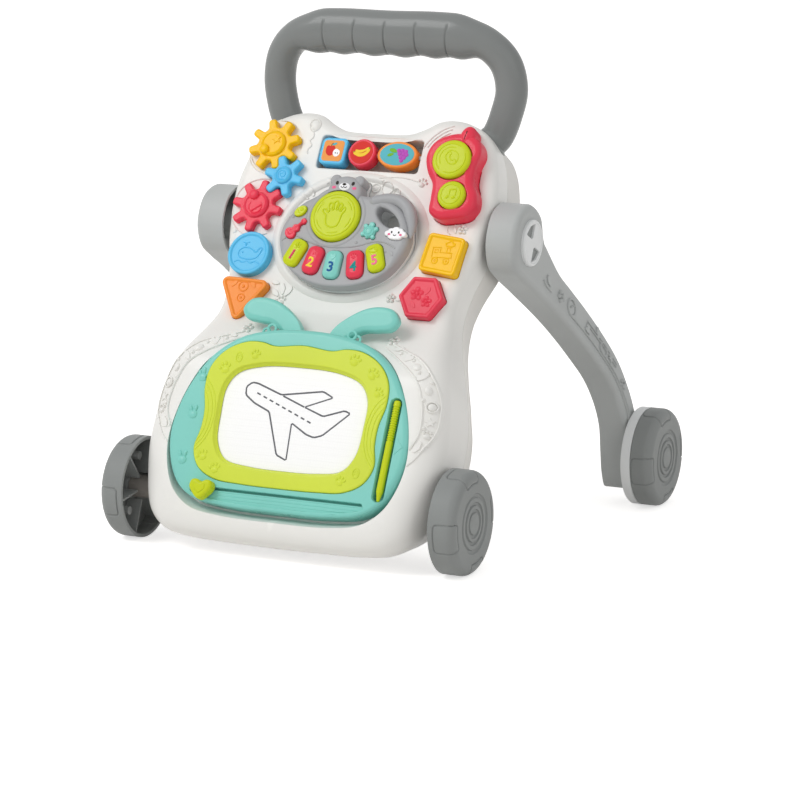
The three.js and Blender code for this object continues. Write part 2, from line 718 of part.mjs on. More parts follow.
// Middle line from the end of one straight root to the other, from left to right.
function handlePath() {
  const top = HANDLE_TOP_Z - GRIP_HALF_HEIGHT;
  const right = [
    handleRoot(4), handleRoot(12),
    new THREE.Vector3(HANDLE_HALF - 2.5, HANDLE_Y + 6, top - HANDLE_RISE),
    new THREE.Vector3(HANDLE_HALF, HANDLE_Y + 8, top - HANDLE_RISE * 0.66),
    new THREE.Vector3(HANDLE_HALF - 5, HANDLE_Y + 6, top - HANDLE_RISE * 0.32),
    new THREE.Vector3(HANDLE_HALF - 20, HANDLE_Y + 2, top - 6),
    new THREE.Vector3(HANDLE_HALF - 41, HANDLE_Y, top - 1),
    new THREE.Vector3(HANDLE_HALF - 70, HANDLE_Y, top + 0.5),
  ];
  const left = right.map((point) => new THREE.Vector3(-point.x, point.y, point.z));
  const middle = new THREE.Vector3(0, HANDLE_Y, top);
  return new THREE.CatmullRomCurve3([...left, middle, ...right.reverse()], false, "centripetal");
}

function handleRing(centre, along) {
  const sides = 10;
  const outward = new THREE.Vector3().crossVectors(along, new THREE.Vector3(0, 1, 0)).normalize();
  const across = new THREE.Vector3().crossVectors(outward, along).normalize();
  const flatness = 1 - ramp(Math.abs(centre.x), GRIP_FLAT, HANDLE_HALF - 15);
  const grip = flatness * ramp(centre.z, PLAY_TOP.z, PLAY_TOP.z + 40);
  const scallop = 1.6 * grip * Math.abs(Math.cos((Math.PI * centre.x) / GRIP_PITCH));
  const half = lerp(TUBE_RADIUS, GRIP_HALF_HEIGHT, grip);
  const ring = [];
  for (let i = 0; i < sides; i += 1) {
    const angle = (2 * Math.PI * i) / sides;
    const under = Math.sin(angle) < 0 ? half - scallop : half;
    const point = centre.clone().addScaledVector(outward, under * Math.sin(angle));
    ring.push(point.addScaledVector(across, lerp(TUBE_RADIUS, GRIP_HALF_DEPTH, grip) * Math.cos(angle)));
  }
  return ring;
}

function handle() {
  const path = handlePath();
  const stations = 24;
  const rings = [];
  for (let k = 0; k <= stations; k += 1) {
    rings.push(handleRing(path.getPointAt(k / stations), path.getTangentAt(k / stations)));
  }
  const rootEnd = handleRoot(-HANDLE_ROOT.depth);
  const alongRoot = handleRoot(0).sub(rootEnd).normalize();
  const leftEnd = rootEnd.clone().setX(-rootEnd.x);
  const alongLeft = alongRoot.clone().setX(-alongRoot.x);
  return [handleRing(leftEnd, alongLeft), ...rings, handleRing(rootEnd, alongRoot.negate())];
}

function ringStack(rings) {
  const fan = (ring) => ring.slice(2).map((_, i) => [0, i + 1, i + 2]);
  return loft(rings, fan);
}

function handleCollars() {
  return LEFT_RIGHT.map(([, side]) => {
    const [inner, from] = [TUBE_RADIUS - 1.5, COLLAR_START];
    const collar = turned([
      [inner, from], [COLLAR_RADIUS, from], [COLLAR_RADIUS, from + COLLAR_LENGTH - 1.5],
      [inner, from + COLLAR_LENGTH], [inner, from],
    ], 10);
    return atHandleRoot(collar, side).applyMatrix4(playFace.matrixWorld);
  });
}

piece("handle", combined(ringStack(handle()), { add: handleCollars() }), GREY);

// ---------------------------------------------------------------- legs

// Spine of a leg in its own side view: share of the reach, bow to the rear, half width.
const LEG_SPINE = [
  [0.14, 0.15, 22], [0.27, 0.45, 18.3], [0.38, 0.73, 18], [0.49, 0.92, 18.3], [0.6, 1, 18], [0.7, 0.97, 16.5],
  [0.79, 0.73, 14.6], [0.88, 0.38, 13.8], [0.97, -0.01, 15], [1.07, -0.42, 17],
];

const legAxis = new THREE.Vector2(LEG_REACH_Y, WHEEL_RADIUS - PIVOT.z);
const legReach = legAxis.length();
const legAlong = legAxis.clone().normalize();
const legSide = new THREE.Vector2(-legAlong.y, legAlong.x); // up and to the rear

function legPoint([share, bow]) {
  return legAlong.clone().multiplyScalar(share * legReach).addScaledVector(legSide, bow * LEG_BOW);
}

// Side view of a leg round its pivot, counter-clockwise in (y, z).
function legLoop() {
  const rear = [];
  const front = [];
  LEG_SPINE.forEach((station, i) => {
    const before = legPoint(LEG_SPINE[Math.max(i - 1, 0)]);
    const after = legPoint(LEG_SPINE[Math.min(i + 1, LEG_SPINE.length - 1)]);
    const along = after.sub(before).normalize();
    const square = new THREE.Vector2(-along.y, along.x).multiplyScalar(station[2]);
    const centre = legPoint(station);
    rear.push(centre.clone().add(square));
    front.push(centre.clone().sub(square));
  });
  const lean = Math.atan2(legAlong.y, legAlong.x);
  const hub = [50, 90, 135, 180, 225, 265, 305].map((degrees) => {
    const angle = lean + rad(degrees);
    return new THREE.Vector2(HUB_RADIUS * Math.cos(angle), HUB_RADIUS * Math.sin(angle));
  });
  const points = [...rear.reverse(), ...hub, ...front].map((point) => [point.x, point.y]);
  return smoothLoop(points, 38);
}

// Outward step of a leg at a height below its pivot.
function splayAt(drop) {
  return LEG_SPLAY * ramp(drop, HUB_RADIUS, PIVOT.z - WHEEL_RADIUS - 20);
}

const legHeightOfAxle = WHEEL_RADIUS - PIVOT.z;
const footOuter = LEG_INNER + LEG_THICK + splayAt(-legHeightOfAxle);

function tubeAlong(outer, inner, from, to, segments) {
  return turned([[inner, from], [outer, from], [outer, to], [inner, to], [inner, from]], segments);
}

// Drawn as a right leg: local X outwards from the hub's inner face, local Y to the rear, local Z up.
function legBlank() {
  const loop = legLoop();
  const layers = [
    [LEG_WALL, LEG_THICK - LEG_WALL - 1], [LEG_WALL, 0], [0, 0], [0, LEG_THICK - 4], [4, LEG_THICK],
  ];
  const shell = prism(loop, layers);
  const turn = new THREE.Matrix4().makeBasis(
    new THREE.Vector3(0, 1, 0), new THREE.Vector3(0, 0, 1), new THREE.Vector3(1, 0, 0));
  shell.applyMatrix4(turn);
  const position = shell.attributes.position;
  for (let i = 0; i < position.count; i += 1) {
    position.setX(i, position.getX(i) + splayAt(-position.getZ(i)));
  }
  return shell;
}

function leg() {
  const hubTube = barAlongX(PIN_RADIUS + CLEAR + 4, 0.5, LEG_THICK - LEG_WALL, 0, 0, 12);
  const footBack = LEG_THICK + splayAt(-legHeightOfAxle);
  const footFrom = footBack - LEG_THICK + FOOT_TUBE_FROM;
  const footTube = barAlongX(8, footFrom, footBack - LEG_WALL, LEG_REACH_Y, legHeightOfAxle, 10);
  const seat = barAlongX(CAP_RADIUS + CLEAR, LEG_THICK - CAP_SEAT, LEG_THICK + 5, 0, 0, 20);
  const pinBore = barAlongX(PIN_RADIUS + CLEAR, -1, LEG_THICK + 5, 0, 0, 14);
  const axleBore = barAlongX(AXLE_RADIUS + CLEAR, -1, footBack + 5, LEG_REACH_Y, legHeightOfAxle, 10);
  return combined(legBlank(), { add: [hubTube, footTube], cut: [seat, pinBore, axleBore] });
}

// A disc with two finger windows either side of a bar.
function legCap() {
  const disc = turned([
    [0, 0], [CAP_RADIUS, 0], [CAP_RADIUS, CAP_THICK], [CAP_RADIUS - 4, CAP_THICK], [0, CAP_THICK - 1],
  ], 16);
  const corners = [[3.5, -5.5], [12.5, -8.5], [12.5, 8.5], [3.5, 5.5]];
  const windows = [90, 270].map((degrees) =>
    prism(movedLoop(roundedLoop(corners, 2, 1), 0, 0, degrees), [[0, 1.5], [0, 9]]));
  windows.forEach((tool) => tool.rotateX(-Math.PI / 2));
  return combined(disc, { cut: windows }).rotateZ(-Math.PI / 2);
}

function mirrored(geometry) {
  const flipped = weld(geometry).scale(-1, 1, 1);
  const index = flipped.index;
  for (let i = 0; i < index.count; i += 3) {
    const second = index.getX(i + 1);
    index.setX(i + 1, index.getX(i + 2));
    index.setX(i + 2, second);
  }
  return flipped;
}

function sidePiece(side, name, geometry, material, x, y, z) {
  const mesh = piece(name, side < 0 ? mirrored(geometry) : geometry, material);
  mesh.position.set(side * x, y, z);
  return mesh;
}

// ---------------------------------------------------------------- wheels and axles

const HUB_TUBE_RADIUS = AXLE_TUBE_RADIUS + 2;
const FRONT_TUBE_END = FRONT_WHEEL_INNER + WHEEL_WIDTH - WHEEL_WALL - 7;

// Cup-shaped wheel, axis along X, open on its inner side at x = 0.
function wheel(hubFrom) {
  const [R, W, wall] = [WHEEL_RADIUS, WHEEL_WIDTH, WHEEL_WALL];
  const bore = AXLE_RADIUS + CLEAR;
  const body = turned([
    [0, W - wall - 0.5], [bore, W - wall - 0.5], [bore, hubFrom], [HUB_TUBE_RADIUS, hubFrom],
    [HUB_TUBE_RADIUS, W - wall - 2.5], [R - wall, W - wall - 4], [R - wall, 0], [R, 0],
    [R, W - WHEEL_CHAMFER],
    [R - WHEEL_CHAMFER * 0.8, W], [24, W], [22, W - 1.4], [0, W - 1.4],
  ], 20);
  const ribs = [30, 210].map((degrees) =>
    box(-1, 1, HUB_TUBE_RADIUS - 1, R - wall + 0.5, 6, W - wall - 3).rotateZ(rad(degrees)));
  return combined(body, { add: ribs.map((rib) => rib.rotateX(-Math.PI / 2)) }).rotateZ(-Math.PI / 2);
}

// Disc that closes the inner side of a rear wheel.
function wheelRing() {
  return turned([
    [HUB_TUBE_RADIUS + 1, 0], [WHEEL_RADIUS - 1, 0], [WHEEL_RADIUS, RING_THICK],
    [HUB_TUBE_RADIUS + 1, RING_THICK], [HUB_TUBE_RADIUS + 1, 0],
  ], 20).rotateZ(-Math.PI / 2);
}

const ringInner = footOuter + 1;
const rearWheelInner = ringInner + RING_THICK + CLEAR;
const rearAxleY = PIVOT.y + LEG_REACH_Y;

const axleHeadAt = footOuter - LEG_THICK + FOOT_TUBE_FROM - CLEAR - AXLE_HEAD.thick;

function rearAxle() {
  const length = rearWheelInner + WHEEL_WIDTH - WHEEL_WALL - 0.8 - CLEAR - axleHeadAt;
  const { radius, thick } = AXLE_HEAD;
  return turned([
    [0, 0], [radius, 0], [radius, thick], [AXLE_RADIUS, thick], [AXLE_RADIUS, length], [0, length],
  ], 12).rotateZ(-Math.PI / 2);
}

for (const [word, side] of LEFT_RIGHT) {
  sidePiece(side, `${word}_leg`, leg(), GREY, LEG_INNER, PIVOT.y, PIVOT.z);
  const capAt = LEG_INNER + LEG_THICK - CAP_SEAT + CLEAR;
  sidePiece(side, `${word}_leg_cap`, legCap(), LIGHT_GREY, capAt, PIVOT.y, PIVOT.z);
  const pinFrom = WAIST_HALF - PIN_SINK + CLEAR;
  const pin = barAlongX(PIN_RADIUS, 0, capAt - CLEAR - pinFrom, 0, 0, 14);
  sidePiece(side, `${word}_pivot_pin`, pin, LIGHT_GREY, pinFrom, PIVOT.y, PIVOT.z);
  sidePiece(side, `${word}_rear_axle`, rearAxle(), STEEL, axleHeadAt, rearAxleY, WHEEL_RADIUS);
  sidePiece(side, `${word}_wheel_ring`, wheelRing(), LIGHT_GREY, ringInner, rearAxleY, WHEEL_RADIUS);
  sidePiece(side, `${word}_rear_wheel`, wheel(2), GREY, rearWheelInner, rearAxleY, WHEEL_RADIUS);
  const frontWheel = wheel(FRONT_TUBE_END - FRONT_WHEEL_INNER + CLEAR);
  sidePiece(side, `${word}_front_wheel`, frontWheel, GREY, FRONT_WHEEL_INNER, 0, WHEEL_RADIUS);
}

function axleTube() {
  const half = FRONT_TUBE_END;
  const inner = AXLE_RADIUS + CLEAR;
  return tubeAlong(AXLE_TUBE_RADIUS, inner, -half, half, 12).rotateZ(-Math.PI / 2);
}

const frontAxleEnd = FRONT_WHEEL_INNER + WHEEL_WIDTH - WHEEL_WALL - 0.8 - CLEAR;
piece("front_axle_tube", axleTube(), TUBE).position.set(0, 0, WHEEL_RADIUS);
piece("front_axle", barAlongX(AXLE_RADIUS, -frontAxleEnd, frontAxleEnd, 0, WHEEL_RADIUS, 12), STEEL);

// ---------------------------------------------------------------- gears

// Toothed loop: straight fingers with round tips.
function gearLoop(teeth, turn) {
  const root = gearRoot(teeth);
  const reach = gearReach(teeth);
  const half = GEAR_MODULE * GEAR_TOOTH_SHARE;
  const loop = [];
  for (let k = 0; k < teeth; k += 1) {
    const tooth = [
      [root, -half * 1.15], [reach - half, -half], [reach - half * 0.1, -half * 0.45],
      [reach - half * 0.1, half * 0.45], [reach - half, half], [root, half * 1.15],
    ];
    loop.push(...movedLoop(tooth.map(([x, y]) => new THREE.Vector2(x, y)), 0, 0, turn + (360 * k) / teeth));
  }
  return loop;
}

function gear(teeth, bottom, turn, finger) {
  const top = bottom + GEAR_THICK;
  const plate = prism(gearLoop(teeth, turn), [[0, bottom], [0, top - 1], [1, top]]);
  const hub = turned([
    [0, 0], [gearRoot(teeth) * 0.68, 0], [gearRoot(teeth) * 0.56, 3.4], [0, 4.6],
  ], 10).rotateX(Math.PI / 2).translate(0, 0, top - 0.5);
  const bore = post(GEAR_POST_RADIUS + CLEAR, bottom - 1, bottom + GEAR_THICK - 2, 0, 0, 10);
  const added = finger ? [hub, post(3.4, top - 0.5, top + 5, finger * 0.72, finger * 0.68, 8)] : [hub];
  return combined(plate, { add: added, cut: [bore] });
}

const wellFloor = -GEAR_WELL + CLEAR;
const halfTooth = 180 / BIG_GEAR_TEETH;
piece("yellow_gear", gear(BIG_GEAR_TEETH, wellFloor, BLUE_ANGLE, -12), YELLOW, playFace)
  .position.set(YELLOW_GEAR.x, YELLOW_GEAR.v, 0);
const blueTurn = BLUE_ANGLE + 180 + 180 / SMALL_GEAR_TEETH;
piece("blue_gear", gear(SMALL_GEAR_TEETH, CLEAR, blueTurn, 0), BLUE, playFace)
  .position.set(blueGear.x, blueGear.v, 0);
const blueToRed = RED_ANGLE - blueTurn;
const redTurn = RED_ANGLE + 180 + halfTooth + (blueToRed * SMALL_GEAR_TEETH) / BIG_GEAR_TEETH;
piece("red_gear", gear(BIG_GEAR_TEETH, wellFloor, redTurn, 12), RED, playFace)
  .position.set(redGear.x, redGear.v, 0);

// ---------------------------------------------------------------- turning picture blocks

const windowLeft = WINDOW.x - WINDOW.width / 2;

function turningBlock(loop) {
  const half = BLOCK_THICK / 2;
  const block = prism(loop, [[1, -half], [0, 1 - half], [0, half - 1], [1, half]]);
  return combined(block, { cut: [barAlongX(ROD_RADIUS + CLEAR, -40, 40, 0, 0, 8)] });
}

// The oval block takes the length that the square and the round one leave.
const ovalBlock = WINDOW.width - SQUARE_BLOCK - ROUND_BLOCK - 4 * BLOCK_GAP;
const squareAt = windowLeft + BLOCK_GAP + SQUARE_BLOCK / 2;
const roundAt = squareAt + (SQUARE_BLOCK + ROUND_BLOCK) / 2 + BLOCK_GAP;
const ovalAt = roundAt + (ROUND_BLOCK + ovalBlock) / 2 + BLOCK_GAP;
const squareLoop = roundedLoop(rectangle(SQUARE_BLOCK, SQUARE_BLOCK), 5, 2);
const ovalLoop = ellipseLoop(ovalBlock / 2, SQUARE_BLOCK / 2, 18);
const pictureBlocks = [
  { name: "apple_block", loop: squareLoop, material: BLUE, x: squareAt },
  { name: "banana_block", loop: circleLoop(ROUND_BLOCK / 2, 18), material: RED, x: roundAt },
  { name: "grape_block", loop: ovalLoop, material: ORANGE, x: ovalAt },
];
for (const { name, loop, material, x } of pictureBlocks) {
  piece(name, turningBlock(loop), material, playFace).position.set(x, WINDOW.v, -ROD_DROP);
}
const rodHalf = WINDOW.width / 2 + 6 - CLEAR;
piece("block_rod", barAlongX(ROD_RADIUS, -rodHalf, rodHalf, WINDOW.v, -ROD_DROP, 10), STEEL, playFace);

// ---------------------------------------------------------------- telephone

function domedButton(radius, bottom, top, segments) {
  return turned([
    [0, bottom], [radius, bottom], [radius, top - 2.5], [radius - 3, top], [0, top],
  ], segments).rotateX(Math.PI / 2);
}

const phoneTop = { radius: 17.5, x: PHONE.x, v: PHONE.v + 0.5 };
const phoneLow = { radius: 12.5, x: PHONE.x - 33 * phoneAxis.x, v: PHONE.v - 33 * phoneAxis.y };
const phoneButtonFloor = PHONE.rise - 7;

function phoneBody() {
  const body = roundedPrism(phoneLoop, -PHONE.sink + CLEAR, PHONE.rise, 6);
  const antenna = roundedPrism(
    movedLoop(ellipseLoop(6, 11, 14), PHONE.x + 7, PHONE.v + 24, -8), CLEAR, PHONE.rise - 4, 3);
  const holes = [phoneTop, phoneLow].map(({ radius, x, v }) =>
    post(radius + 2 * CLEAR, phoneButtonFloor, faceTop, x, v, 20));
  return combined(body, { add: [antenna], cut: holes });
}

function phoneButton({ radius, x, v }) {
  const bottom = phoneButtonFloor + BUTTON_TRAVEL + CLEAR;
  return domedButton(radius, bottom, PHONE.rise + 4, 20).translate(x, v, 0);
}

piece("phone_body", phoneBody(), RED, playFace);
piece("phone_call_button", phoneButton(phoneTop), LIME, playFace);
piece("phone_tune_button", phoneButton(phoneLow), LIME, playFace);

// ---------------------------------------------------------------- piano unit

const pianoBottom = -PIANO.sink;
const buttonFloor = PIANO.seam + CLEAR + BUTTON_TRAVEL;
const cellRow = 2 * CELL_RADIUS + 2 * CLEAR;
const cellBay = { x: 4, v: -112, width: CELL_LENGTH + 1, height: 3 * cellRow };
const DOOR_LEDGE = 2;
const doorThick = 1.5;
const cellW = pianoBottom + doorThick + CLEAR + CELL_RADIUS;
const SWITCH = { x: -34, v: -104, width: 6, length: 8, travel: 4, thick: 3 };

// Outline of the battery bay, let out by a margin.
function cellBayLoop(margin) {
  const corners = rectangle(cellBay.width + 2 * margin, cellBay.height + 2 * margin);
  return corners.map(([x, y]) => new THREE.Vector2(cellBay.x + x, cellBay.v + y));
}

function pianoBase() {
  const body = prism(pianoLoop, [[0, pianoBottom], [0, PIANO.seam - CLEAR / 2]]);
  const heads = bearLoops.map((loop) => prism(loop, [[0, pianoBottom], [0, PIANO.seam - CLEAR / 2]]));
  const below = pianoBottom - 5;
  const { x, v, width, length, travel, thick } = SWITCH;
  const cut = [
    prism(loopHole, [[0, below], [0, faceTop]]),
    prism(cellBayLoop(0), [[0, below], [0, cellW + CELL_RADIUS + CLEAR]]),
    prism(cellBayLoop(DOOR_LEDGE + CLEAR), [[0, below], [0, pianoBottom + doorThick]]),
    box(x - width / 2 - CLEAR, x + width / 2 + CLEAR, v - length / 2 - CLEAR, v + length / 2 + travel + CLEAR,
      below, pianoBottom + thick),
  ];
  return combined(body, { add: heads, cut });
}

const pianoButtons = [
  {
    name: "guitar_button", material: RED,
    loop: movedLoop(smoothLoop([
      [-9, -5], [-4, -6], [0, -3.5], [4, -2.5], [11, -2], [11, 2], [4, 2.5], [0, 3.5], [-4, 6], [-9, 5],
      [-11, 0],
    ], 14), -46, -101, 48),
  },
  { name: "turtle_button", material: TEAL, loop: movedLoop(smoothLoop([
    [0, -7.5], [5, -8.5], [6.5, -5], [8.5, 0], [6.5, 5], [5, 8.5], [0, 8], [-5, 8.5], [-6.5, 5], [-8.5, 0],
    [-6.5, -5], [-5, -8.5],
  ], 16), 26, -99, 0) },
  { name: "maraca_button", material: LIME, loop: movedLoop(ellipseLoop(6, 3.4, 10), -44.5, -83, 40) },
  { name: "cloud_button", material: CLOUD, loop: movedLoop(smoothLoop([
    [-6, -6], [6, -6], [10.5, -2.5], [8, 3], [4, 6], [-3, 6.5], [-8.5, 3], [-10.5, -2.5],
  ], 14), 51, -99.5, 0) },
];

const keyMaterials = [LIME, RED, TEAL, RED, LIME];
const keyLoop = roundedLoop(rectangle(KEY_WIDTH, KEY_LENGTH), 6, 2);

function pianoCover() {
  const through = (loop) => prism(loop, [[0, pianoBottom], [0, faceTop]]);
  const body = roundedPrism(pianoLoop, PIANO.seam + CLEAR / 2, PIANO.rise, PIANO_ROUND);
  const heads = bearLoops.map((loop, i) =>
    roundedPrism(loop, PIANO.seam + CLEAR / 2, PIANO.rise + (i === 0 ? 3 : 1), i === 0 ? 4 : 2));
  const cut = [
    through(loopHole),
    post(DRUM.radius + 2 * CLEAR, pianoBottom, faceTop, DRUM.x, DRUM.v, 22),
    ...keyPlaces.map(({ x, v, turn }) => through(movedLoop(insetLoop(keyLoop, -CLEAR), x, v, turn))),
    ...pianoButtons.map(({ loop }) => through(insetLoop(loop, -CLEAR))),
  ];
  return combined(body, { add: heads, cut });
}

piece("piano_base", pianoBase(), LIGHT_GREY, playFace);
piece("piano_cover", pianoCover(), PIANO_GREY, playFace);
const drum = domedButton(DRUM.radius, buttonFloor, PIANO.rise + 4, 22).translate(DRUM.x, DRUM.v, 0);
piece("drum_button", drum, LIME, playFace);
keyPlaces.forEach(({ x, v, turn }, i) => {
  const key = roundedPrism(movedLoop(keyLoop, x, v, turn), buttonFloor, PIANO.rise + 4, 3);
  piece(`key_${i + 1}`, key, keyMaterials[i], playFace);
});
for (const { name, material, loop } of pianoButtons) {
  const button = prism(loop, [[0, buttonFloor], [0, PIANO.rise + 1], [1.2, PIANO.rise + 2.4]]);
  piece(name, button, material, playFace);
}
const door = prism(cellBayLoop(DOOR_LEDGE), [[0, pianoBottom], [0, pianoBottom + doorThick - CLEAR]]);
piece("battery_door", door, LIGHT_GREY, playFace);
[-1, 0, 1].forEach((row, i) => {
  const half = CELL_LENGTH / 2;
  const v = cellBay.v + row * cellRow;
  const cell = barAlongX(CELL_RADIUS, cellBay.x - half, cellBay.x + half, v, cellW, 10);
  piece(`battery_${i + 1}`, cell, i === 1 ? STEEL : LIGHT_GREY, playFace);
});

function powerSwitch() {
  const { x, v, width, length, thick } = SWITCH;
  return box(x - width / 2, x + width / 2, v - length / 2, v + length / 2, pianoBottom + 0.2,
    pianoBottom + thick - CLEAR);
}

piece("power_switch", powerSwitch(), RED, playFace);

// ---------------------------------------------------------------- shape blocks

for (const { name, material, loop } of shapeBlocks) {
  const block = prism(loop, [
    [0, -SHAPE_SINK], [0, SHAPE_RISE - 1.2], [1.2, SHAPE_RISE], [3.2, SHAPE_RISE], [4, SHAPE_RISE - 1],
  ]);
  piece(name, block, material, playFace);
}

// ---------------------------------------------------------------- drawing board

// One ear leaf of the board, drawn for the right side.
const earLoop = smoothLoop([
  [12, 38], [17, 50], [28, 61], [42, 69], [56, 71.5], [68, 69], [74, 60], [69, 52], [57, 49.5], [44, 48],
  [34, 43], [27, 39], [19, 37],
], 16);

function boardBase() {
  const body = roundedPrism(boardLoop, -BOARD_THICK, 0, 5);
  const ears = LEFT_RIGHT.map(([, side]) => {
    const ear = prism(earLoop, [[0, -BOARD_THICK - 1], [0, -14], [3, -11]]);
    return side < 0 ? mirrored(ear) : ear;
  });
  const cut = [
    prism(insetLoop(frameLoop, -CLEAR), [[0, -FRAME_SEAT], [0, 30]]),
    prism(insetLoop(screenLoop, -SCREEN_LEDGE - CLEAR), [[0, -FRAME_SEAT - SCREEN_THICK - CLEAR], [0, 30]]),
    prism(slotLoop, [[0, -PEN_RADIUS * 2 - 1], [0, 30]]),
    prism(trackLoop, [[0, -TRACK_DEPTH], [0, 30]]),
  ];
  return combined(body, { add: ears, cut });
}

function boardFrame() {
  const plate = prism(frameLoop, [[0, -FRAME_SEAT + CLEAR], [0, FRAME_RISE - 1], [1, FRAME_RISE]]);
  const opening = prism(screenLoop, [[0, -20], [0, -FRAME_SEAT + CLEAR + 0.5], [-3, FRAME_RISE + 0.5]]);
  return combined(plate, { cut: [opening] });
}

const screenTop = -FRAME_SEAT;
piece("board_base", boardBase(), TEAL, boardFace);
piece("board_frame", boardFrame(), LIME, boardFace);
const screen = prism(insetLoop(screenLoop, -SCREEN_LEDGE), [
  [0, screenTop - SCREEN_THICK], [0, screenTop - 0.7], [SCREEN_LEDGE + CLEAR, screenTop - 0.7],
  [SCREEN_LEDGE + CLEAR, screenTop],
]);
piece("board_screen", screen, SCREEN, boardFace);

function pen() {
  const half = PEN_LENGTH / 2;
  return turned([
    [0, -half], [1.2, -half], [PEN_RADIUS - 0.6, -half + 7], [PEN_RADIUS, -half + 9], [PEN_RADIUS, half - 2],
    [PEN_RADIUS - 1, half], [0, half],
  ], 14);
}

const penMesh = piece("pen", pen(), LIME, boardFace);
penMesh.position.set(penPlace.x, penPlace.v, -PEN_RADIUS - 1 + CLEAR);
penMesh.rotation.z = rad(penPlace.turn);

const KNOB = { x: -68, v: -104, height: 9 };

function eraserKnob() {
  const heart = smoothLoop([
    [0, -8.5], [7, -3.5], [10.5, 2], [9, 7.5], [4.5, 8.5], [0, 6.5], [-4.5, 8.5], [-9, 7.5], [-10.5, 2],
    [-7, -3.5],
  ], 20);
  const head = prism(movedLoop(heart, 0, 0.5), [[0, CLEAR], [0, KNOB.height - 2], [2, KNOB.height]]);
  const foot = box(-9, 9, -4.5, 4.5, -TRACK_DEPTH + CLEAR, 1);
  return combined(head, { add: [foot] });
}

piece("eraser_slider", eraserKnob(), LIME, boardFace).position.set(KNOB.x, KNOB.v, 0);

// ---------------------------------------------------------------- place on the ground

// The origin is the middle of the walker's footprint, on the ground.
const extent = new THREE.Box3().setFromObject(walker, true);
walker.position.y = -(extent.min.y + extent.max.y) / 2;

export default walker;
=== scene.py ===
"""Looks of the baby walker: smooth moulded shells, reliefs, wheels, toys, materials, light and camera."""

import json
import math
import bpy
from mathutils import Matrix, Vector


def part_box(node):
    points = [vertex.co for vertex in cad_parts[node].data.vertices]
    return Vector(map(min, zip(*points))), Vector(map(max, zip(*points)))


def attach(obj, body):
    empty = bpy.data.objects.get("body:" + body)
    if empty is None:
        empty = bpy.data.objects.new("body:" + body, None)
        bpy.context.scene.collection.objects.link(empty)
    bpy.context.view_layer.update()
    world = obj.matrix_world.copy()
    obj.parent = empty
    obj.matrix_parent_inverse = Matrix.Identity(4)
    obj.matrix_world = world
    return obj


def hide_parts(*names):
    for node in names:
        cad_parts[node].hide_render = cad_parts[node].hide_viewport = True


bl_info = {
    "name": "Baby Walker",
    "version": (1, 0, 0),
    "blender": (4, 5, 0),
    "location": "3D View > Sidebar > Walker",
    "description": "Builds the moulded pieces, reliefs and finishes of a baby push walker",
    "category": "Add Mesh",
}

import bmesh
import bpy
from bpy.props import FloatProperty, FloatVectorProperty, IntProperty, PointerProperty
from mathutils import Matrix, Vector
from mathutils.bvhtree import BVHTree
from mathutils.geometry import delaunay_2d_cdt

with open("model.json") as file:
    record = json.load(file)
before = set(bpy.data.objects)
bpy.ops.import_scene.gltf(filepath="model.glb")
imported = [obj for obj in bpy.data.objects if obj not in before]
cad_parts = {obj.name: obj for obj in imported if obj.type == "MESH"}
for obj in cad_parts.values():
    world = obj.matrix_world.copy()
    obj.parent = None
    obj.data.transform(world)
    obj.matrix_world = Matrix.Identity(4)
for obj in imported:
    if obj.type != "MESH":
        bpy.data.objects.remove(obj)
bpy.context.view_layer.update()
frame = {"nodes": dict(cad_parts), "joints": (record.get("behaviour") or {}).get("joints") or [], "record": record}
MM = 0.001  # the sizes below are in millimetres
IN_MM = Matrix.Scale(MM, 4)
SIDES = (("left", -1), ("right", 1))


# ------------ places


def joint(name):
    """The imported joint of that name."""
    return next(j for j in frame["joints"] if j["name"] == name)


def leaning_plane(point, normal, x, v, height):
    """Matrix from millimetres on a leaning face to the walker's frame, given one known point on it."""
    across = Vector((1, 0, 0))
    normal = Vector(normal).normalized()
    up = normal.cross(across)
    turn = Matrix((across, up, normal)).transposed().to_4x4()
    known = Vector((x, v, height)) * MM
    return Matrix.Translation(Vector(point)) @ turn @ Matrix.Translation(-known) @ IN_MM


YELLOW_SPIN = joint("yellow_gear_spin")
SCREEN_FACE = next(m for m in frame["record"]["mounts"] if m["name"] == "drawing_surface")
PLAY = leaning_plane(YELLOW_SPIN["pos_m"], YELLOW_SPIN["axis"], -92, -19, 4)
BOARD = leaning_plane(SCREEN_FACE["pos_m"], SCREEN_FACE["axis"], 0, -35, -3)
FRONT_AXLE = Vector(joint("right_front_wheel_spin")["pos_m"])
REAR_AXLE = Vector(joint("right_rear_wheel_spin")["pos_m"])
LEG_PIVOT = Vector(joint("right_leg_fold")["pos_m"])


def turn_about(axis, degrees):
    """Matrix of a turn about an axis."""
    return Matrix.Rotation(math.radians(degrees), 4, axis)


def direction(angle):
    """Unit step in a plane at an angle."""
    return Vector((math.cos(angle), math.sin(angle)))


def spin_centre(name):
    """Place on the play panel, in millimetres, of what turns on a joint."""
    return PLAY.inverted() @ Vector(joint(name)["pos_m"])


def at(x, y, height=0.0, turn=0.0, size=1.0):
    """Matrix that puts a motif at a place on a face, turned by degrees and scaled."""
    move = Matrix.Translation((x, y, height))
    return move @ turn_about("Z", turn) @ Matrix.Scale(size, 4)


# ------------ properties


def linear(code):
    """Linear colour from a six-digit sRGB code."""
    channels = [int(code[i : i + 2], 16) / 255 for i in (0, 2, 4)]
    return [c / 12.92 if c <= 0.04045 else ((c + 0.055) / 1.055) ** 2.4 for c in channels]


def colour(name, code):
    """Colour property with a default."""
    return FloatVectorProperty(
        name=name, description=f"Colour of the {name.lower()}", subtype="COLOR", size=3,
        min=0.0, max=1.0, default=linear(code),
    )


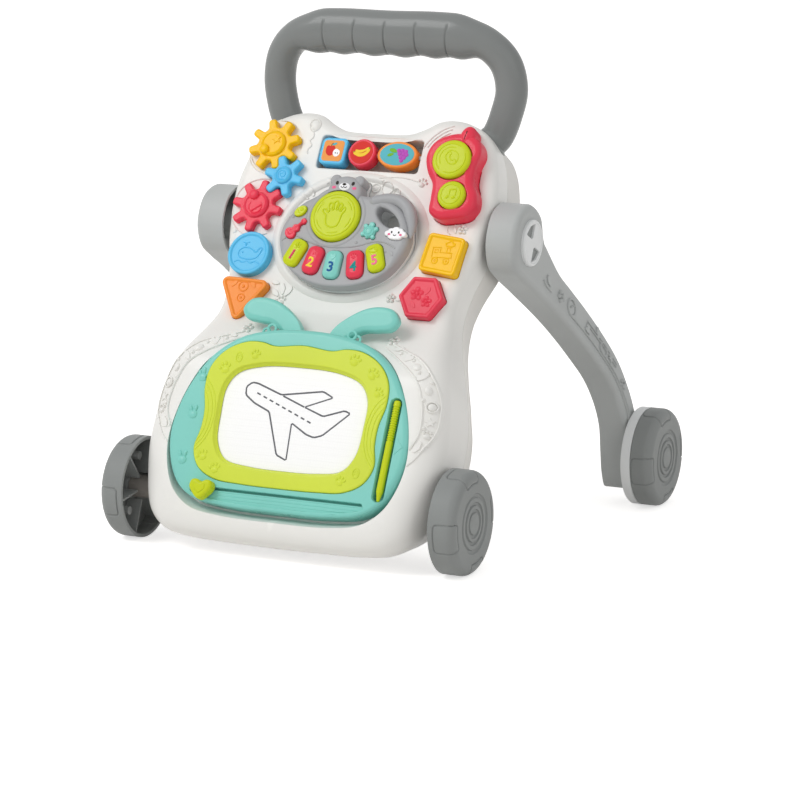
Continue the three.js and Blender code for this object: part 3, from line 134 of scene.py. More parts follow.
class WalkerColours(bpy.types.PropertyGroup):
    """Plastic colours of the walker."""

    shell: colour("Front shell", "edece8")
    rear: colour("Rear shell", "e2e0db")
    grey: colour("Handle", "828584")
    tyre: colour("Wheels and collars", "8f9291")
    leg: colour("Legs", "b6b9b8")
    light_grey: colour("Hub caps and wheel rings", "e6e8e8")
    piano: colour("Piano cover", "a9aaac")
    teal: colour("Teal pieces", "84d0c5")
    lime: colour("Lime pieces", "c9d622")
    frame: colour("Board frame", "d3e148")
    red: colour("Red pieces", "e93f55")
    blue: colour("Blue pieces", "5abfec")
    yellow: colour("Yellow pieces", "fac30c")
    orange: colour("Orange pieces", "f89238")
    screen: colour("Drawing screen", "ffffff")


class WalkerFinish(bpy.types.PropertyGroup):
    """Edges and surface of the mouldings."""

    edge_steps: IntProperty(
        name="Edge steps", description="Faces across a softened edge", default=2, min=1, max=4,
    )
    wheel_steps: IntProperty(
        name="Wheel steps", description="Steps of a wheel's full turn", default=96, min=24, max=192,
    )
    grain: FloatProperty(
        name="Surface grain", description="Strength of the fine moulded grain",
        default=0.12, min=0.0, max=1.0,
    )


class WalkerStage(bpy.types.PropertyGroup):
    """Light and camera."""

    lens: FloatProperty(name="Lens", description="Focal length of the camera in millimetres", default=147.4)
    key_power: FloatProperty(
        name="Key light", description="Power of the large lamp at the upper left", default=50.0, unit="POWER",
    )
    fill_power: FloatProperty(
        name="Fill light", description="Power of the lamp at the right", default=11.0, unit="POWER",
    )
    sky: FloatProperty(name="Sky", description="Strength of the even light all round", default=0.53, min=0.0)


# ------------ materials


def tone(tint, share, lift=0.0):
    """A tint made lighter or darker, with its alpha."""
    return (*[min(1.0, c * share + lift) for c in tint], 1)


def new_material(name):
    """A material with its node tree and shader."""
    material = bpy.data.materials.new(name)
    material.use_nodes = True
    return material, material.node_tree, material.node_tree.nodes["Principled BSDF"]


def add_node(tree, kind, inputs=None, **settings):
    """A new shader node: its settings are made first, then its inputs are given their values."""
    node = tree.nodes.new(f"ShaderNode{kind}")
    for name, value in settings.items():
        setattr(node, name, value)
    for name, value in (inputs or {}).items():
        node.inputs[name].default_value = value
    return node


def wire(tree, *chain):
    """Links nodes one after another: (node, output), (input, node, output), ..., (input, node)."""
    source, output = chain[0]
    for socket, node, *onward in chain[1:]:
        tree.links.new(source.outputs[output], node.inputs[socket])
        source, output = node, onward[0] if onward else None


def moulded(name, tint, roughness, texture=1.0, gloss=0.0, flow=0.035):
    """Injection-moulded plastic: a faint flow of tone, fine grain in the surface, and sharp edges painted lighter
    as a highlight.
    """
    material, tree, shader = new_material(name)
    place = add_node(tree, "TexCoord")

    clouds = add_node(tree, "TexNoise", {"Scale": 14.0, "Detail": 4.0})
    tones = add_node(tree, "ValToRGB")
    dark, light = tones.color_ramp.elements
    dark.position, light.position = 0.3, 0.7
    dark.color, light.color = tone(tint, 1 - flow), tone(tint, 1 + flow)
    # painted highlight: where Pointiness marks a sharp convex edge, the colour is mixed towards a lighter tone
    edge_highlight = add_node(tree, "Mix", data_type="RGBA")
    edge_highlight.inputs["B"].default_value = tone(tint, 1.15, 0.004)
    wire(tree, (place, "Object"), ("Vector", clouds, "Fac"), ("Fac", tones, "Color"), ("A", edge_highlight, "Result"),
         ("Base Color", shader))
    edge = add_node(tree, "MapRange", {"From Min": 0.51, "From Max": 0.62, "To Max": 0.5})
    wire(tree, (add_node(tree, "NewGeometry"), "Pointiness"), ("Value", edge, "Result"), ("Factor", edge_highlight))

    smears = add_node(tree, "TexNoise", {"Scale": 55.0, "Detail": 6.0})
    shine = add_node(tree, "MapRange", {"To Min": max(0.05, roughness - 0.05), "To Max": roughness + 0.07})
    wire(tree, (place, "Object"), ("Vector", smears, "Fac"), ("Value", shine, "Result"),
         ("Roughness", shader))

    grain = add_node(tree, "TexNoise", {"Scale": 1400.0, "Detail": 2.0})
    strength = bpy.context.scene.walker_finish.grain * texture
    bump = add_node(tree, "Bump", {"Strength": strength, "Distance": 0.0003})
    wire(tree, (place, "Object"), ("Vector", grain, "Fac"), ("Height", bump, "Normal"), ("Normal", shader))

    shader.inputs["Specular IOR Level"].default_value = 0.07 + 0.16 * min(tint[:3])
    shader.inputs["Coat Weight"].default_value = gloss * 0.6
    shader.inputs["Coat Roughness"].default_value = 0.15
    return material


def metal(name, tint):
    """Drawn steel rod with fine lines along its length."""
    material, tree, shader = new_material(name)
    shader.inputs["Metallic"].default_value = 1.0
    stretch = add_node(tree, "Mapping", {"Scale": (8, 900, 900)})
    lines = add_node(tree, "TexNoise", {"Scale": 1.0})
    shine = add_node(tree, "MapRange", {"To Min": 0.2, "To Max": 0.45})
    tones = add_node(tree, "ValToRGB")
    dark, light = tones.color_ramp.elements
    dark.color, light.color = tone(tint, 0.85), tone(tint, 1)
    wire(tree, (add_node(tree, "TexCoord"), "Object"), ("Vector", stretch, "Vector"), ("Vector", lines))
    wire(tree, (lines, "Fac"), ("Value", shine, "Result"), ("Roughness", shader))
    wire(tree, (lines, "Fac"), ("Fac", tones, "Color"), ("Base Color", shader))
    return material


def screen_film(name, tint):
    """Magnetic drawing film: a white skin over a faint honeycomb of cells."""
    material = moulded(name, tint, 0.3, texture=0.2, gloss=0.2, flow=0.008)
    tree = material.node_tree
    shader = tree.nodes["Principled BSDF"]
    # the moulded base colour so far, with its painted edge highlight
    skin = shader.inputs["Base Color"].links[0].from_node
    cells = add_node(tree, "TexVoronoi", {"Scale": 420.0, "Randomness": 0.15}, feature="DISTANCE_TO_EDGE")
    walls = add_node(tree, "MapRange", {"From Max": 0.08, "To Min": 0.955, "To Max": 1.0})
    shade = add_node(tree, "Mix", {"Factor": 1.0}, data_type="RGBA", blend_type="MULTIPLY")
    wire(tree, (tree.nodes["Texture Coordinate"], "Object"), ("Vector", cells, "Distance"),
         ("Value", walls, "Result"), ("B", shade))
    wire(tree, (skin, "Result"), ("A", shade, "Result"), ("Base Color", shader))
    return material


# Each finish: the material's name, a colour property or sRGB code, roughness, grain, gloss and flow of tone
FINISHES = {
    "shell": ("white_shell", "shell", 0.34, 1.0, 0.15, 0.015),
    "rear": ("white_rear_shell", "rear", 0.42, 1.0, 0.0, 0.02),
    "grey": ("grey_plastic", "tyre", 0.42, 1.6),
    "handle": ("handle_grey_plastic", "grey", 0.3, 1.0, 0.4),
    "leg": ("leg_grey_plastic", "leg", 0.42, 1.6),
    "light_grey": ("light_grey_plastic", "light_grey", 0.4),
    "piano": ("piano_grey_plastic", "piano", 0.36, 1.0, 0.1),
    "teal": ("teal_plastic", "teal", 0.28, 0.5, 0.3),
    "lime": ("lime_plastic", "lime", 0.3, 0.5, 0.25),
    "frame": ("lime_frame_plastic", "frame", 0.34, 0.6, 0.2),
    "red": ("red_plastic", "red", 0.28, 0.5, 0.3),
    "blue": ("blue_plastic", "blue", 0.28, 0.5, 0.3),
    "yellow": ("yellow_plastic", "yellow", 0.28, 0.5, 0.3),
    "orange": ("orange_plastic", "orange", 0.3, 0.5, 0.25),
    "screen": ("drawing_film", "screen"),
    "cloud": ("cloud_white_plastic", "f6f6f8", 0.3, 1.0, 0.2),
    "tube": ("axle_tube_plastic", "8f8a85", 0.45),
    "tank": ("tank_plastic", "cfe0ea", 0.22, 1.0, 0.3),
    "steel": ("axle_steel", "b9bcc0"),
    "cell": ("cell_sleeve", "6e7f8c", 0.3),
    "ink": ("grey_ink", "6a6b70", 0.55, 0.3),
    "tan": ("tan_ink", "f0a055", 0.45, 0.3),
}
INKS = {
    "black": ("dark_ink", "3b3936"), "pink": ("pink_ink", "ef6f97"), "rose": ("rose_ink", "d33b66"),
    "navy": ("navy_ink", "1f5c94"), "sun": ("sun_ink", "f6d13f"), "sea": ("sea_ink", "1f8f8c"),
    "crimson": ("crimson_ink", "d8352f"), "leaf": ("leaf_ink", "79b93a"), "purple": ("purple_ink", "c05abf"),
    "aqua": ("aqua_ink", "5cb7c3"),
}
FINISHES |= {key: (name, code, 0.4, 0.3) for key, (name, code) in INKS.items()}
MAKERS = {"screen": screen_film, "steel": metal}
_finishes = {}


def finish(key):
    """The walker's finish of that name, made once."""
    if key not in _finishes:
        name, tint, *surface = FINISHES[key]
        tint = getattr(bpy.context.scene.walker_colours, tint, None) or linear(tint)
        _finishes[key] = MAKERS.get(key, moulded)(name, tint, *surface)
    return _finishes[key]


# ------------ mesh helpers


def baked(bm, name="solid"):
    """The mesh of a bmesh, which is freed."""
    mesh = bpy.data.meshes.new(name)
    bm.to_mesh(mesh)
    bm.free()
    return mesh


def in_scene(name, data):
    """A new object in the scene."""
    made = bpy.data.objects.new(name, data)
    bpy.context.scene.collection.objects.link(made)
    return made


def finished(name, bm, finish_key, body, place=None, smooth=32, replaces=()):
    """Turns a bmesh into a piece that rides on a body, with its place in its mesh."""
    if place is not None:
        bm.transform(place)
    mesh = baked(bm, name)
    mesh.shade_smooth()
    mesh.set_sharp_from_angle(angle=math.radians(smooth))
    mesh.materials.append(finish(finish_key))
    piece = in_scene(name, mesh)
    normals = piece.modifiers.new("Weighted Normal", "WEIGHTED_NORMAL")
    normals.keep_sharp = True
    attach(piece, body)
    if replaces:
        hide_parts(*replaces)
    return piece


def moulding(node, bm, finish_key, body, place=None, smooth=32):
    """The finished piece that stands for a CAD node."""
    finished(f"{node}_moulding", bm, finish_key, body, place, smooth, [node])


def dressed(node, finish_key, body, radius, steps=None):
    """A CAD node's merged copy with its sharp edges rounded by a radius in millimetres."""
    bm = bmesh.new()
    bm.from_mesh(frame["nodes"][node].data)
    bmesh.ops.remove_doubles(bm, verts=bm.verts, dist=2e-6)
    bmesh.ops.dissolve_limit(
        bm, angle_limit=math.radians(0.6), verts=bm.verts, edges=bm.edges, use_dissolve_boundaries=False,
    )
    sharp = [e for e in bm.edges if e.is_manifold and e.calc_face_angle(0.0) > math.radians(38)]
    bmesh.ops.bevel(
        bm, geom=sharp, offset=radius * MM, offset_type="OFFSET",
        segments=steps or bpy.context.scene.walker_finish.edge_steps, profile=0.5,
        affect="EDGES", clamp_overlap=False, material=-1,
    )
    moulding(node, bm, finish_key, body)


def plain(node, finish_key):
    """Gives a CAD node, kept as it is, a better finish."""
    mesh = frame["nodes"][node].data
    mesh.materials.clear()
    mesh.materials.append(finish(finish_key))


def mesh_of_curve(curve):
    """Mesh of a curve, which is dropped."""
    holder = bpy.data.objects.new("outline", curve)
    mesh = bpy.data.meshes.new_from_object(holder)
    bpy.data.objects.remove(holder)
    bpy.data.curves.remove(curve)
    return mesh


def curve_mesh(points, closed=False, tube=0.0, height=0.0, rounding=0.0, smooth=True):
    """Mesh of a curve through a few points: a round line, or a filled plate with rounded edges."""
    curve = bpy.data.curves.new("outline", "CURVE")
    curve.dimensions = "2D" if height else "3D"
    curve.resolution_u = 6
    spline = curve.splines.new("BEZIER")
    spline.bezier_points.add(len(points) - 1)
    for knot, point in zip(spline.bezier_points, points):
        knot.co = (*point, 0.0)[:3]
        knot.handle_left_type = knot.handle_right_type = "AUTO" if smooth else "VECTOR"
    spline.use_cyclic_u = closed
    if height:
        curve.fill_mode = "BOTH"
        curve.extrude = height / 2 - rounding
        curve.bevel_depth = rounding
        curve.offset = -rounding
    else:
        curve.bevel_depth = tube
        curve.use_fill_caps = not closed
    curve.bevel_resolution = 2
    return mesh_of_curve(curve)


def numeral_mesh(text, size, height):
    """Mesh of a short plain text, centred."""
    curve = bpy.data.curves.new("numeral", "FONT")
    curve.body = text
    curve.size = size
    curve.extrude = height / 2
    curve.offset = size * 0.02
    curve.align_x = curve.align_y = "CENTER"
    curve.resolution_u = 3
    return mesh_of_curve(curve)


def take_in(bm, mesh, matrix=None):
    """Adds a mesh to a bmesh at a place and drops the loose copy."""
    if matrix is not None:
        mesh.transform(matrix)
    bm.from_mesh(mesh)
    bpy.data.meshes.remove(mesh)


def dome(bm, x, y, wide, tall, high, turn=0.0, lift=0.0, place=None):
    """A low rounded bump."""
    matrix = at(x, y, lift, turn) @ Matrix.Diagonal((wide, tall, high, 1))
    if place is not None:
        matrix = place @ matrix
    bmesh.ops.create_uvsphere(bm, u_segments=16, v_segments=8, radius=1.0, matrix=matrix)


def ring(bm, x, y, radius, tube, lift=0.0, start=0.0, end=360.0, stretch=1.0):
    """A round raised line: a whole ring or an arc of one, in degrees."""
    whole = end - start >= 359.9
    count = max(4, int((end - start) / 24))
    angles = [math.radians(start + (end - start) * i / count) for i in range(count if whole else count + 1)]
    points = [(radius * math.cos(a), radius * stretch * math.sin(a)) for a in angles]
    take_in(bm, curve_mesh(points, closed=whole, tube=tube), at(x, y, lift))


def line(bm, points, tube, matrix=None, closed=False, smooth=True):
    """A raised line through points."""
    take_in(bm, curve_mesh(points, closed=closed, tube=tube, smooth=smooth), matrix)


def plate(bm, points, height, rounding, matrix=None, smooth=True):
    """A filled plate with a rounded rim; it stands half above and half below its place."""
    take_in(bm, curve_mesh(points, closed=True, height=height, rounding=rounding, smooth=smooth), matrix)


def paw(bm, x, y, size, turn=0.0, high=0.8, lift=0.0):
    """A paw print of a pad and four toes."""
    place = at(x, y, lift, turn, size)
    dome(bm, 0, -0.18, 0.34, 0.27, high / size, place=place)
    for along, up, tilt in ((-0.42, 0.12, 25), (-0.16, 0.34, 8), (0.16, 0.34, -8), (0.42, 0.12, -25)):
        dome(bm, along, up, 0.12, 0.17, 0.8 * high / size, turn=tilt, place=place)


def flower(bm, x, y, size, turn=0.0, high=0.8, lift=0.0):
    """A small flower of five round petals."""
    place = at(x, y, lift, turn, size)
    for k in range(5):
        angle = math.radians(360 * k / 5 + 90)
        dome(bm, 0.34 * math.cos(angle), 0.34 * math.sin(angle), 0.2, 0.2, high / size, place=place)
    dome(bm, 0, 0, 0.16, 0.16, 1.3 * high / size, place=place)


def leaf(bm, x, y, size, turn=0.0, high=1.0):
    """A pointed leaf."""
    outline = [(0, -0.5), (0.2, -0.2), (0.24, 0.1), (0, 0.5), (-0.24, 0.1), (-0.2, -0.2)]
    plate(bm, [(px * size, py * size) for px, py in outline], high, high * 0.3, at(x, y, 0, turn))


def heart(bm, x, y, size, turn=0.0, high=1.0, lift=0.0):
    """A plump heart."""
    outline = [(0, -0.5), (0.32, -0.2), (0.48, 0.12), (0.36, 0.4), (0.12, 0.42), (0, 0.26),
               (-0.12, 0.42), (-0.36, 0.4), (-0.48, 0.12), (-0.32, -0.2)]
    plate(bm, [(px * size, py * size) for px, py in outline], high, high * 0.35, at(x, y, lift, turn))


def star(bm, x, y, size, turn=0.0, high=1.0, lift=0.0):
    """A five-pointed star with blunt tips."""
    outline = []
    for k in range(10):
        reach = size * (0.5 if k % 2 == 0 else 0.24)
        angle = math.radians(90 + 36 * k)
        outline.append((reach * math.cos(angle), reach * math.sin(angle)))
    plate(bm, outline, high, high * 0.3, at(x, y, lift, turn), smooth=False)


def cloud(bm, x, y, size, lift=0.0):
    """An outlined cloud."""
    outline = [(-0.5, -0.12), (-0.42, 0.1), (-0.22, 0.16), (-0.08, 0.32), (0.16, 0.28), (0.26, 0.1),
               (0.46, 0.06), (0.5, -0.14), (0.3, -0.26), (-0.3, -0.26)]
    line(bm, [(px * size, py * size) for px, py in outline], 0.72, at(x, y, lift), closed=True)


def motifs(bm, high, rows, side=1):
    """Motifs of one height, each as (motif, x, y, size, turn); side -1 mirrors them."""
    for motif, x, y, size, turn in rows:
        motif(bm, side * x, y, size, turn=side * turn, high=high)


def skin_of(name):
    """Search tree over a finished piece, for laying reliefs on it."""
    bm = bmesh.new()
    bm.from_mesh(bpy.data.objects[name].data)
    tree = BVHTree.FromBMesh(bm)
    bm.free()
    return tree


def drape(bm, plane, tree):
    """Lowers a relief drawn on a plane, point by point, onto the surface under it."""
    reach = 120.0
    to_plane = plane.inverted()
    down = -(plane.to_3x3() @ Vector((0, 0, 1))).normalized()
    lost = []
    for vert in bm.verts:
        above = plane @ Vector((vert.co.x, vert.co.y, reach))
        hit = tree.ray_cast(above, down)[0]
        if hit is None:
            lost.append(vert)
            continue
        vert.co.z += (to_plane @ hit).z
    bmesh.ops.delete(bm, geom=lost, context="VERTS")
    return bm


def relief(name, draw, under, finish_key, body, plane, height=1.0):
    """A drawing on a plane, made higher and laid on a finished piece."""
    bm = bmesh.new()
    draw(bm)
    bmesh.ops.scale(bm, vec=(1, 1, height), verts=bm.verts)
    finished(name, drape(bm, plane, skin_of(under)), finish_key, body, plane)


# ------------ lines and lofts


def spline_points(knots, steps, closed=False):
    """Points along a smooth line through knots, evenly stepped between each pair."""
    knots = [Vector(knot) for knot in knots]
    if closed:
        ends = [knots[-1], *knots, knots[0], knots[1]]
    else:
        ends = [2 * knots[0] - knots[1], *knots, 2 * knots[-1] - knots[-2]]
    points = []
    for a, b, c, d in zip(ends, ends[1:], ends[2:], ends[3:]):
        for i in range(steps):
            t = i / steps
            points.append(0.5 * (2 * b + (c - a) * t + (2 * a - 5 * b + 4 * c - d) * t**2
                                 + (3 * b - a - 3 * c + d) * t**3))
    if not closed:
        points.append(knots[-1])
    return points


def ramp(value, low, high):
    """Smooth step from 0 at low to 1 at high."""
    t = min(1.0, max(0.0, (value - low) / (high - low)))
    return t * t * (3 - 2 * t)


def rolled_tube(stations, sides, place):
    """A grid rolled into a closed tube: place(k, angle) gives the point at a station and a turn."""
    bm = bmesh.new()
    bmesh.ops.create_grid(bm, x_segments=stations, y_segments=sides, size=0.5)
    for vert in bm.verts:
        k = round((vert.co.x + 0.5) * stations)
        i = round((vert.co.y + 0.5) * sides) % sides
        vert.co = place(k, math.tau * i / sides)
    bmesh.ops.remove_doubles(bm, verts=bm.verts, dist=1e-4)
    rim = [e for e in bm.edges if e.is_boundary]
    bmesh.ops.holes_fill(bm, edges=rim, sides=0)
    bmesh.ops.recalc_face_normals(bm, faces=bm.faces)
    return bm


def turned(bm, profile, steps, place=None):
    """Adds a profile of (radius, height) turned once round Z: from axis to axis, or closed off the axis."""
    new = bmesh.new()
    verts = [new.verts.new((r, 0, h)) for r, h in profile]
    edges = [new.edges.new(pair) for pair in zip(verts, verts[1:])]
    if profile[0][0] > 0:
        edges.append(new.edges.new((verts[-1], verts[0])))
    bmesh.ops.spin(
        new, geom=verts + edges, cent=(0, 0, 0), axis=(0, 0, 1), angle=math.tau, steps=steps, use_merge=True,
    )
    bmesh.ops.remove_doubles(new, verts=new.verts, dist=1e-3)
    bmesh.ops.recalc_face_normals(new, faces=new.faces)
    take_in(bm, baked(new), place)
    return bm


# ------------ outlines and slabs


def smooth_loop(knots, count=120):
    """Evenly spaced points of the smooth outline through knots, counter-clockwise."""
    dense, total = [], len(knots)
    for i in range(total):
        a, b, c, d = (Vector(knots[(i + k) % total]) for k in (-1, 0, 1, 2))
        s, t, u = ((q - p).length ** 0.5 for p, q in ((a, b), (b, c), (c, d)))
        start = ((b - a) / s - (c - a) / (s + t) + (c - b) / t) * t
        end = ((c - b) / t - (d - b) / (t + u) + (d - c) / u) * t
        for k in range(16):
            w = k / 16
            dense.append(b * (2 * w**3 - 3 * w**2 + 1) + start * (w**3 - 2 * w**2 + w)
                         + c * (3 * w**2 - 2 * w**3) + end * (w**3 - w**2))
    return evened(dense, count)


def evened(loop, count):
    """A closed outline cut into even steps, counter-clockwise."""
    if sum(a.x * b.y - b.x * a.y for a, b in zip(loop, loop[1:] + loop[:1])) < 0:
        loop = loop[::-1]
    lengths = [(b - a).length for a, b in zip(loop, loop[1:] + loop[:1])]
    step = sum(lengths) / count
    points, i, passed = [], 0, 0.0
    for k in range(count):
        while passed + lengths[i] < k * step - 1e-9:
            passed += lengths[i]
            i += 1
        share = (k * step - passed) / lengths[i]
        points.append(loop[i].lerp(loop[(i + 1) % len(loop)], share))
    return points


def ellipse_loop(wide, tall=None, count=64, x=0.0, y=0.0):
    """Points round an ellipse."""
    tall = wide if tall is None else tall
    angles = [math.tau * i / count for i in range(count)]
    return [Vector((x + wide * math.cos(a), y + tall * math.sin(a))) for a in angles]


def rounded_loop(corners, radius, steps=8):
    """Polygon, given counter-clockwise, with its corners rounded by arcs."""
    loop = []
    for i, corner in enumerate(corners):
        corner = Vector(corner)
        before = (Vector(corners[i - 1]) - corner).normalized()
        after = (Vector(corners[(i + 1) % len(corners)]) - corner).normalized()
        half = math.acos(max(-1.0, min(1.0, before.dot(after)))) / 2
        outer = before.cross(after) < 0
        centre = corner + (before + after).normalized() * (radius / math.sin(half))
        sweep = math.pi - 2 * half
        tip = corner - centre
        middle = math.atan2(tip.y, tip.x)
        for k in range(steps + 1):
            angle = middle + sweep * (k / steps - 0.5) * (1 if outer else -1)
            loop.append(centre + direction(angle) * radius)
    return loop


def moved(loop, x, y, turn=0.0):
    """An outline turned by degrees about the origin, then shifted."""
    spin = Matrix.Rotation(math.radians(turn), 2)
    return [spin @ Vector(point) + Vector((x, y)) for point in loop]


def rounded_box(wide, tall, radius, x=0.0, y=0.0, turn=0.0, steps=8):
    """Rectangle with rounded corners, turned by degrees and shifted."""
    corners = [(-wide / 2, -tall / 2), (wide / 2, -tall / 2), (wide / 2, tall / 2), (-wide / 2, tall / 2)]
    return moved(rounded_loop(corners, radius, steps), x, y, turn)


def on_side(side, points):
    """Points as they are, or mirrored where side is -1."""
    return [(side * x, y) for x, y in points]


def crossing(a, along, b, other):
    """Where two lines, each a point and a direction, cross."""
    spread = along.cross(other)
    return a + along * ((b - a).cross(other) / spread) if abs(spread) > 1e-9 else (a + b) / 2


def inset_loop(loop, inset):
    """A counter-clockwise outline moved inwards; corners that would fold over meet in a mitre."""
    points = []
    for i, point in enumerate(loop):
        before = (point - loop[i - 1]).normalized()
        after = (loop[(i + 1) % len(loop)] - point).normalized()
        along = (before + after).normalized()
        reach = (inset(point) if callable(inset) else inset) / max(along.dot(after), 0.5)
        points.append(Vector((point.x - along.y * reach, point.y + along.x * reach)))
    count = len(points)
    sides = zip(points, points[1:] + points[:1], loop, loop[1:] + loop[:1])
    folded = [(b - a).dot(d - c) < 0 for a, b, c, d in sides]
    if not any(folded) or all(folded):
        return points
    start = next(i for i in range(count) if folded[i] and not folded[i - 1])
    i = 0
    while i < count:
        first = (start + i) % count
        if not folded[first]:
            i += 1
            continue
        run = 1
        while folded[(first + run) % count]:
            run += 1
        last = (first + run) % count
        before = loop[first] - loop[first - 1]
        after = loop[(last + 1) % count] - loop[last]
        middle = (points[first] + points[last]) / 2
        corner = crossing(points[first], before, points[last], after)
        if (corner - middle).length > 1.5 * (points[first] - points[last]).length + 0.3:
            corner = middle
        for k in range(run + 1):
            points[(first + k) % count] = corner.copy()
        i += run + 1
    return points


def is_inside(point, loop):
    """Whether a point lies within an outline."""
    inside = False
    a = loop[-1]
    for b in loop:
        if (a.y > point.y) != (b.y > point.y):
            if point.x < a.x + (point.y - a.y) * (b.x - a.x) / (b.y - a.y):
                inside = not inside
        a = b
    return inside


def kept_inside(loop, limit, margin):
    """Draws in the points of an outline that come too near to the one round it."""
    points = []
    for point in loop:
        best = None
        for a, b in zip(limit, limit[1:] + limit[:1]):
            share = max(0.0, min(1.0, (point - a).dot(b - a) / (b - a).length_squared))
            near = a + (b - a) * share
            if best is None or (point - near).length < best[0]:
                best = ((point - near).length, near, (b - a).normalized())
        distance, near, along = best
        if distance < margin or not is_inside(point, limit):
            point = near + Vector((-along.y, along.x)) * margin
        points.append(point)
    return points


def add_ring(bm, points):
    """New vertices of one ring."""
    return [bm.verts.new(point) for point in points]


def join_rings(bm, rings):
    """Walls between rings of equal count."""
    for low, high in zip(rings, rings[1:]):
        for i in range(len(low)):
            j = (i + 1) % len(low)
            bm.faces.new((low[i], low[j], high[j], high[i]))


def lofted(bm, loop, profile, place=None):
    """Adds the closed solid of an outline at (inset, height) pairs from its foot to its top."""
    new = bmesh.new()
    rings = []
    for inset, height in profile:
        ring_points = inset_loop(loop, inset) if inset else loop
        rings.append(add_ring(new, [(p.x, p.y, height) for p in ring_points]))
    join_rings(new, rings)
    new.faces.new(rings[0][::-1])
    new.faces.new(rings[-1])
    bmesh.ops.remove_doubles(new, verts=new.verts, dist=1e-3)
    bmesh.ops.recalc_face_normals(new, faces=new.faces)
    take_in(bm, baked(new), place)
    return bm


def edge_profile(foot, top, radius, steps=5):
    """Wall with a rounded upper edge, as (inset, height) pairs."""
    pairs = [(0.0, foot)]
    for i in range(steps + 1):
        angle = math.pi / 2 * i / steps
        pairs.append((radius * (1 - math.cos(angle)), top - radius * (1 - math.sin(angle))))
    return pairs


def fill_between(bm, outer, holes, height=None, pitch=None):
    """Fills the room inside a ring and outside the rings in it; height bends the face over a fine grid."""
    rings = [outer, *holes]
    verts = [vert for one in rings for vert in one]
    flat = [Vector(vert.co[:2]) for vert in verts]
    edges, start = [], 0
    for one in rings:
        edges += [(start + i, start + (i + 1) % len(one)) for i in range(len(one))]
        start += len(one)
    loops = [[Vector(vert.co[:2]) for vert in one] for one in rings]
    boxes = []
    for loop in loops:
        xs, ys = [p.x for p in loop], [p.y for p in loop]
        boxes.append((min(xs), max(xs), min(ys), max(ys)))

    def within(point, k):
        left, right, low, high = boxes[k]
        return left < point.x < right and low < point.y < high and is_inside(point, loops[k])

    if pitch:
        left, right, low, high = boxes[0]
        for i in range(int((right - left) / pitch) + 1):
            for j in range(int((high - low) / pitch) + 1):
                point = Vector((left + (i + 0.5) * pitch, low + (j + 0.5 + 0.25 * (i % 2)) * pitch))
                if within(point, 0) and not any(within(point, k) for k in range(1, len(rings))):
                    if min((point - other).length for other in flat[: start]) > pitch * 0.55:
                        flat.append(point)
    coords, _, faces, origins, _, _ = delaunay_2d_cdt(flat, edges, [], 1, 1e-5)
    made = []
    for coord, origin in zip(coords, origins):
        known = [i for i in origin if i < start]
        if known:
            made.append(verts[known[0]])
        else:
            level = height(coord.x, coord.y) if height else outer[0].co.z
            made.append(bm.verts.new((coord.x, coord.y, level)))
    for face in faces:
        middle = sum((coords[i] for i in face), Vector((0, 0))) / len(face)
        if not any(within(middle, k) for k in range(1, len(rings))):
            bm.faces.new([made[i] for i in face])


def well(loop, floor=None, lip=0.6, flare=0.0):
    """An opening for a panel: floor is its height, or None to go right through."""
    return {"loop": loop, "floor": floor, "lip": lip, "flare": flare}


def as_function(value):
    """A value that may change over a face, as a function of (x, y)."""
    return value if callable(value) else lambda x, y: value


def panel(bm, outline, base, level, rounding, wells=(), steps=6, pitch=None, draft=0.0):
    """Slab on a flat base; its upper face, level or bent, has a rounded edge and rounded openings."""
    height, radius, draft = as_function(level), as_function(rounding), as_function(draft)
    rings = [add_ring(bm, [(p.x, p.y, base) for p in outline])]
    for i in range(steps + 1):
        angle = math.pi / 2 * i / steps
        drawn_in = 1 - math.cos(angle)
        lowered = 1 - math.sin(angle)
        loop = inset_loop(outline, lambda p: radius(p.x, p.y) * drawn_in + draft(p.x, p.y))
        rings.append(add_ring(bm, [
            (q.x, q.y, height(q.x, q.y) - radius(p.x, p.y) * lowered) for p, q in zip(outline, loop)]))
    join_rings(bm, rings)
    face_edge = [Vector(vert.co[:2]) for vert in rings[-1]]
    rims, through = [], []
    for spec in wells:
        lip, flare = spec["lip"], spec["flare"]
        loop = kept_inside(spec["loop"], face_edge, lip + flare + 0.35)
        turns = []
        for i in range(4):
            angle = math.pi / 2 * i / 3
            ring_points = inset_loop(loop, -flare - lip * (1 - math.sin(angle)))
            turns.append(add_ring(bm, [
                (p.x, p.y, height(p.x, p.y) - lip * (1 - math.cos(angle))) for p in ring_points]))
        floor = spec["floor"]
        turns.append(add_ring(bm, [(p.x, p.y, base if floor is None else floor) for p in loop]))
        join_rings(bm, turns)
        rims.append(turns[0])
        if floor is None:
            through.append(turns[-1])
        else:
            bm.faces.new(turns[-1])
    fill_between(bm, rings[-1], rims, height, pitch)
    fill_between(bm, rings[0], through)
    bmesh.ops.recalc_face_normals(bm, faces=bm.faces)


def carved(bm, cutters):
    """The solid in a bmesh less the solids in another."""
    solid, cutter = pair = [in_scene("solid", baked(one)) for one in (bm, cutters)]
    cut = solid.modifiers.new("Boolean", "BOOLEAN")
    cut.operation = "DIFFERENCE"
    cut.solver = "EXACT"
    cut.object = cutter
    result = bpy.data.meshes.new_from_object(solid.evaluated_get(bpy.context.evaluated_depsgraph_get()))
    for piece in pair:
        mesh = piece.data
        bpy.data.objects.remove(piece)
        bpy.data.meshes.remove(mesh)
    new = bmesh.new()
    new.from_mesh(result)
    bpy.data.meshes.remove(result)
    return new


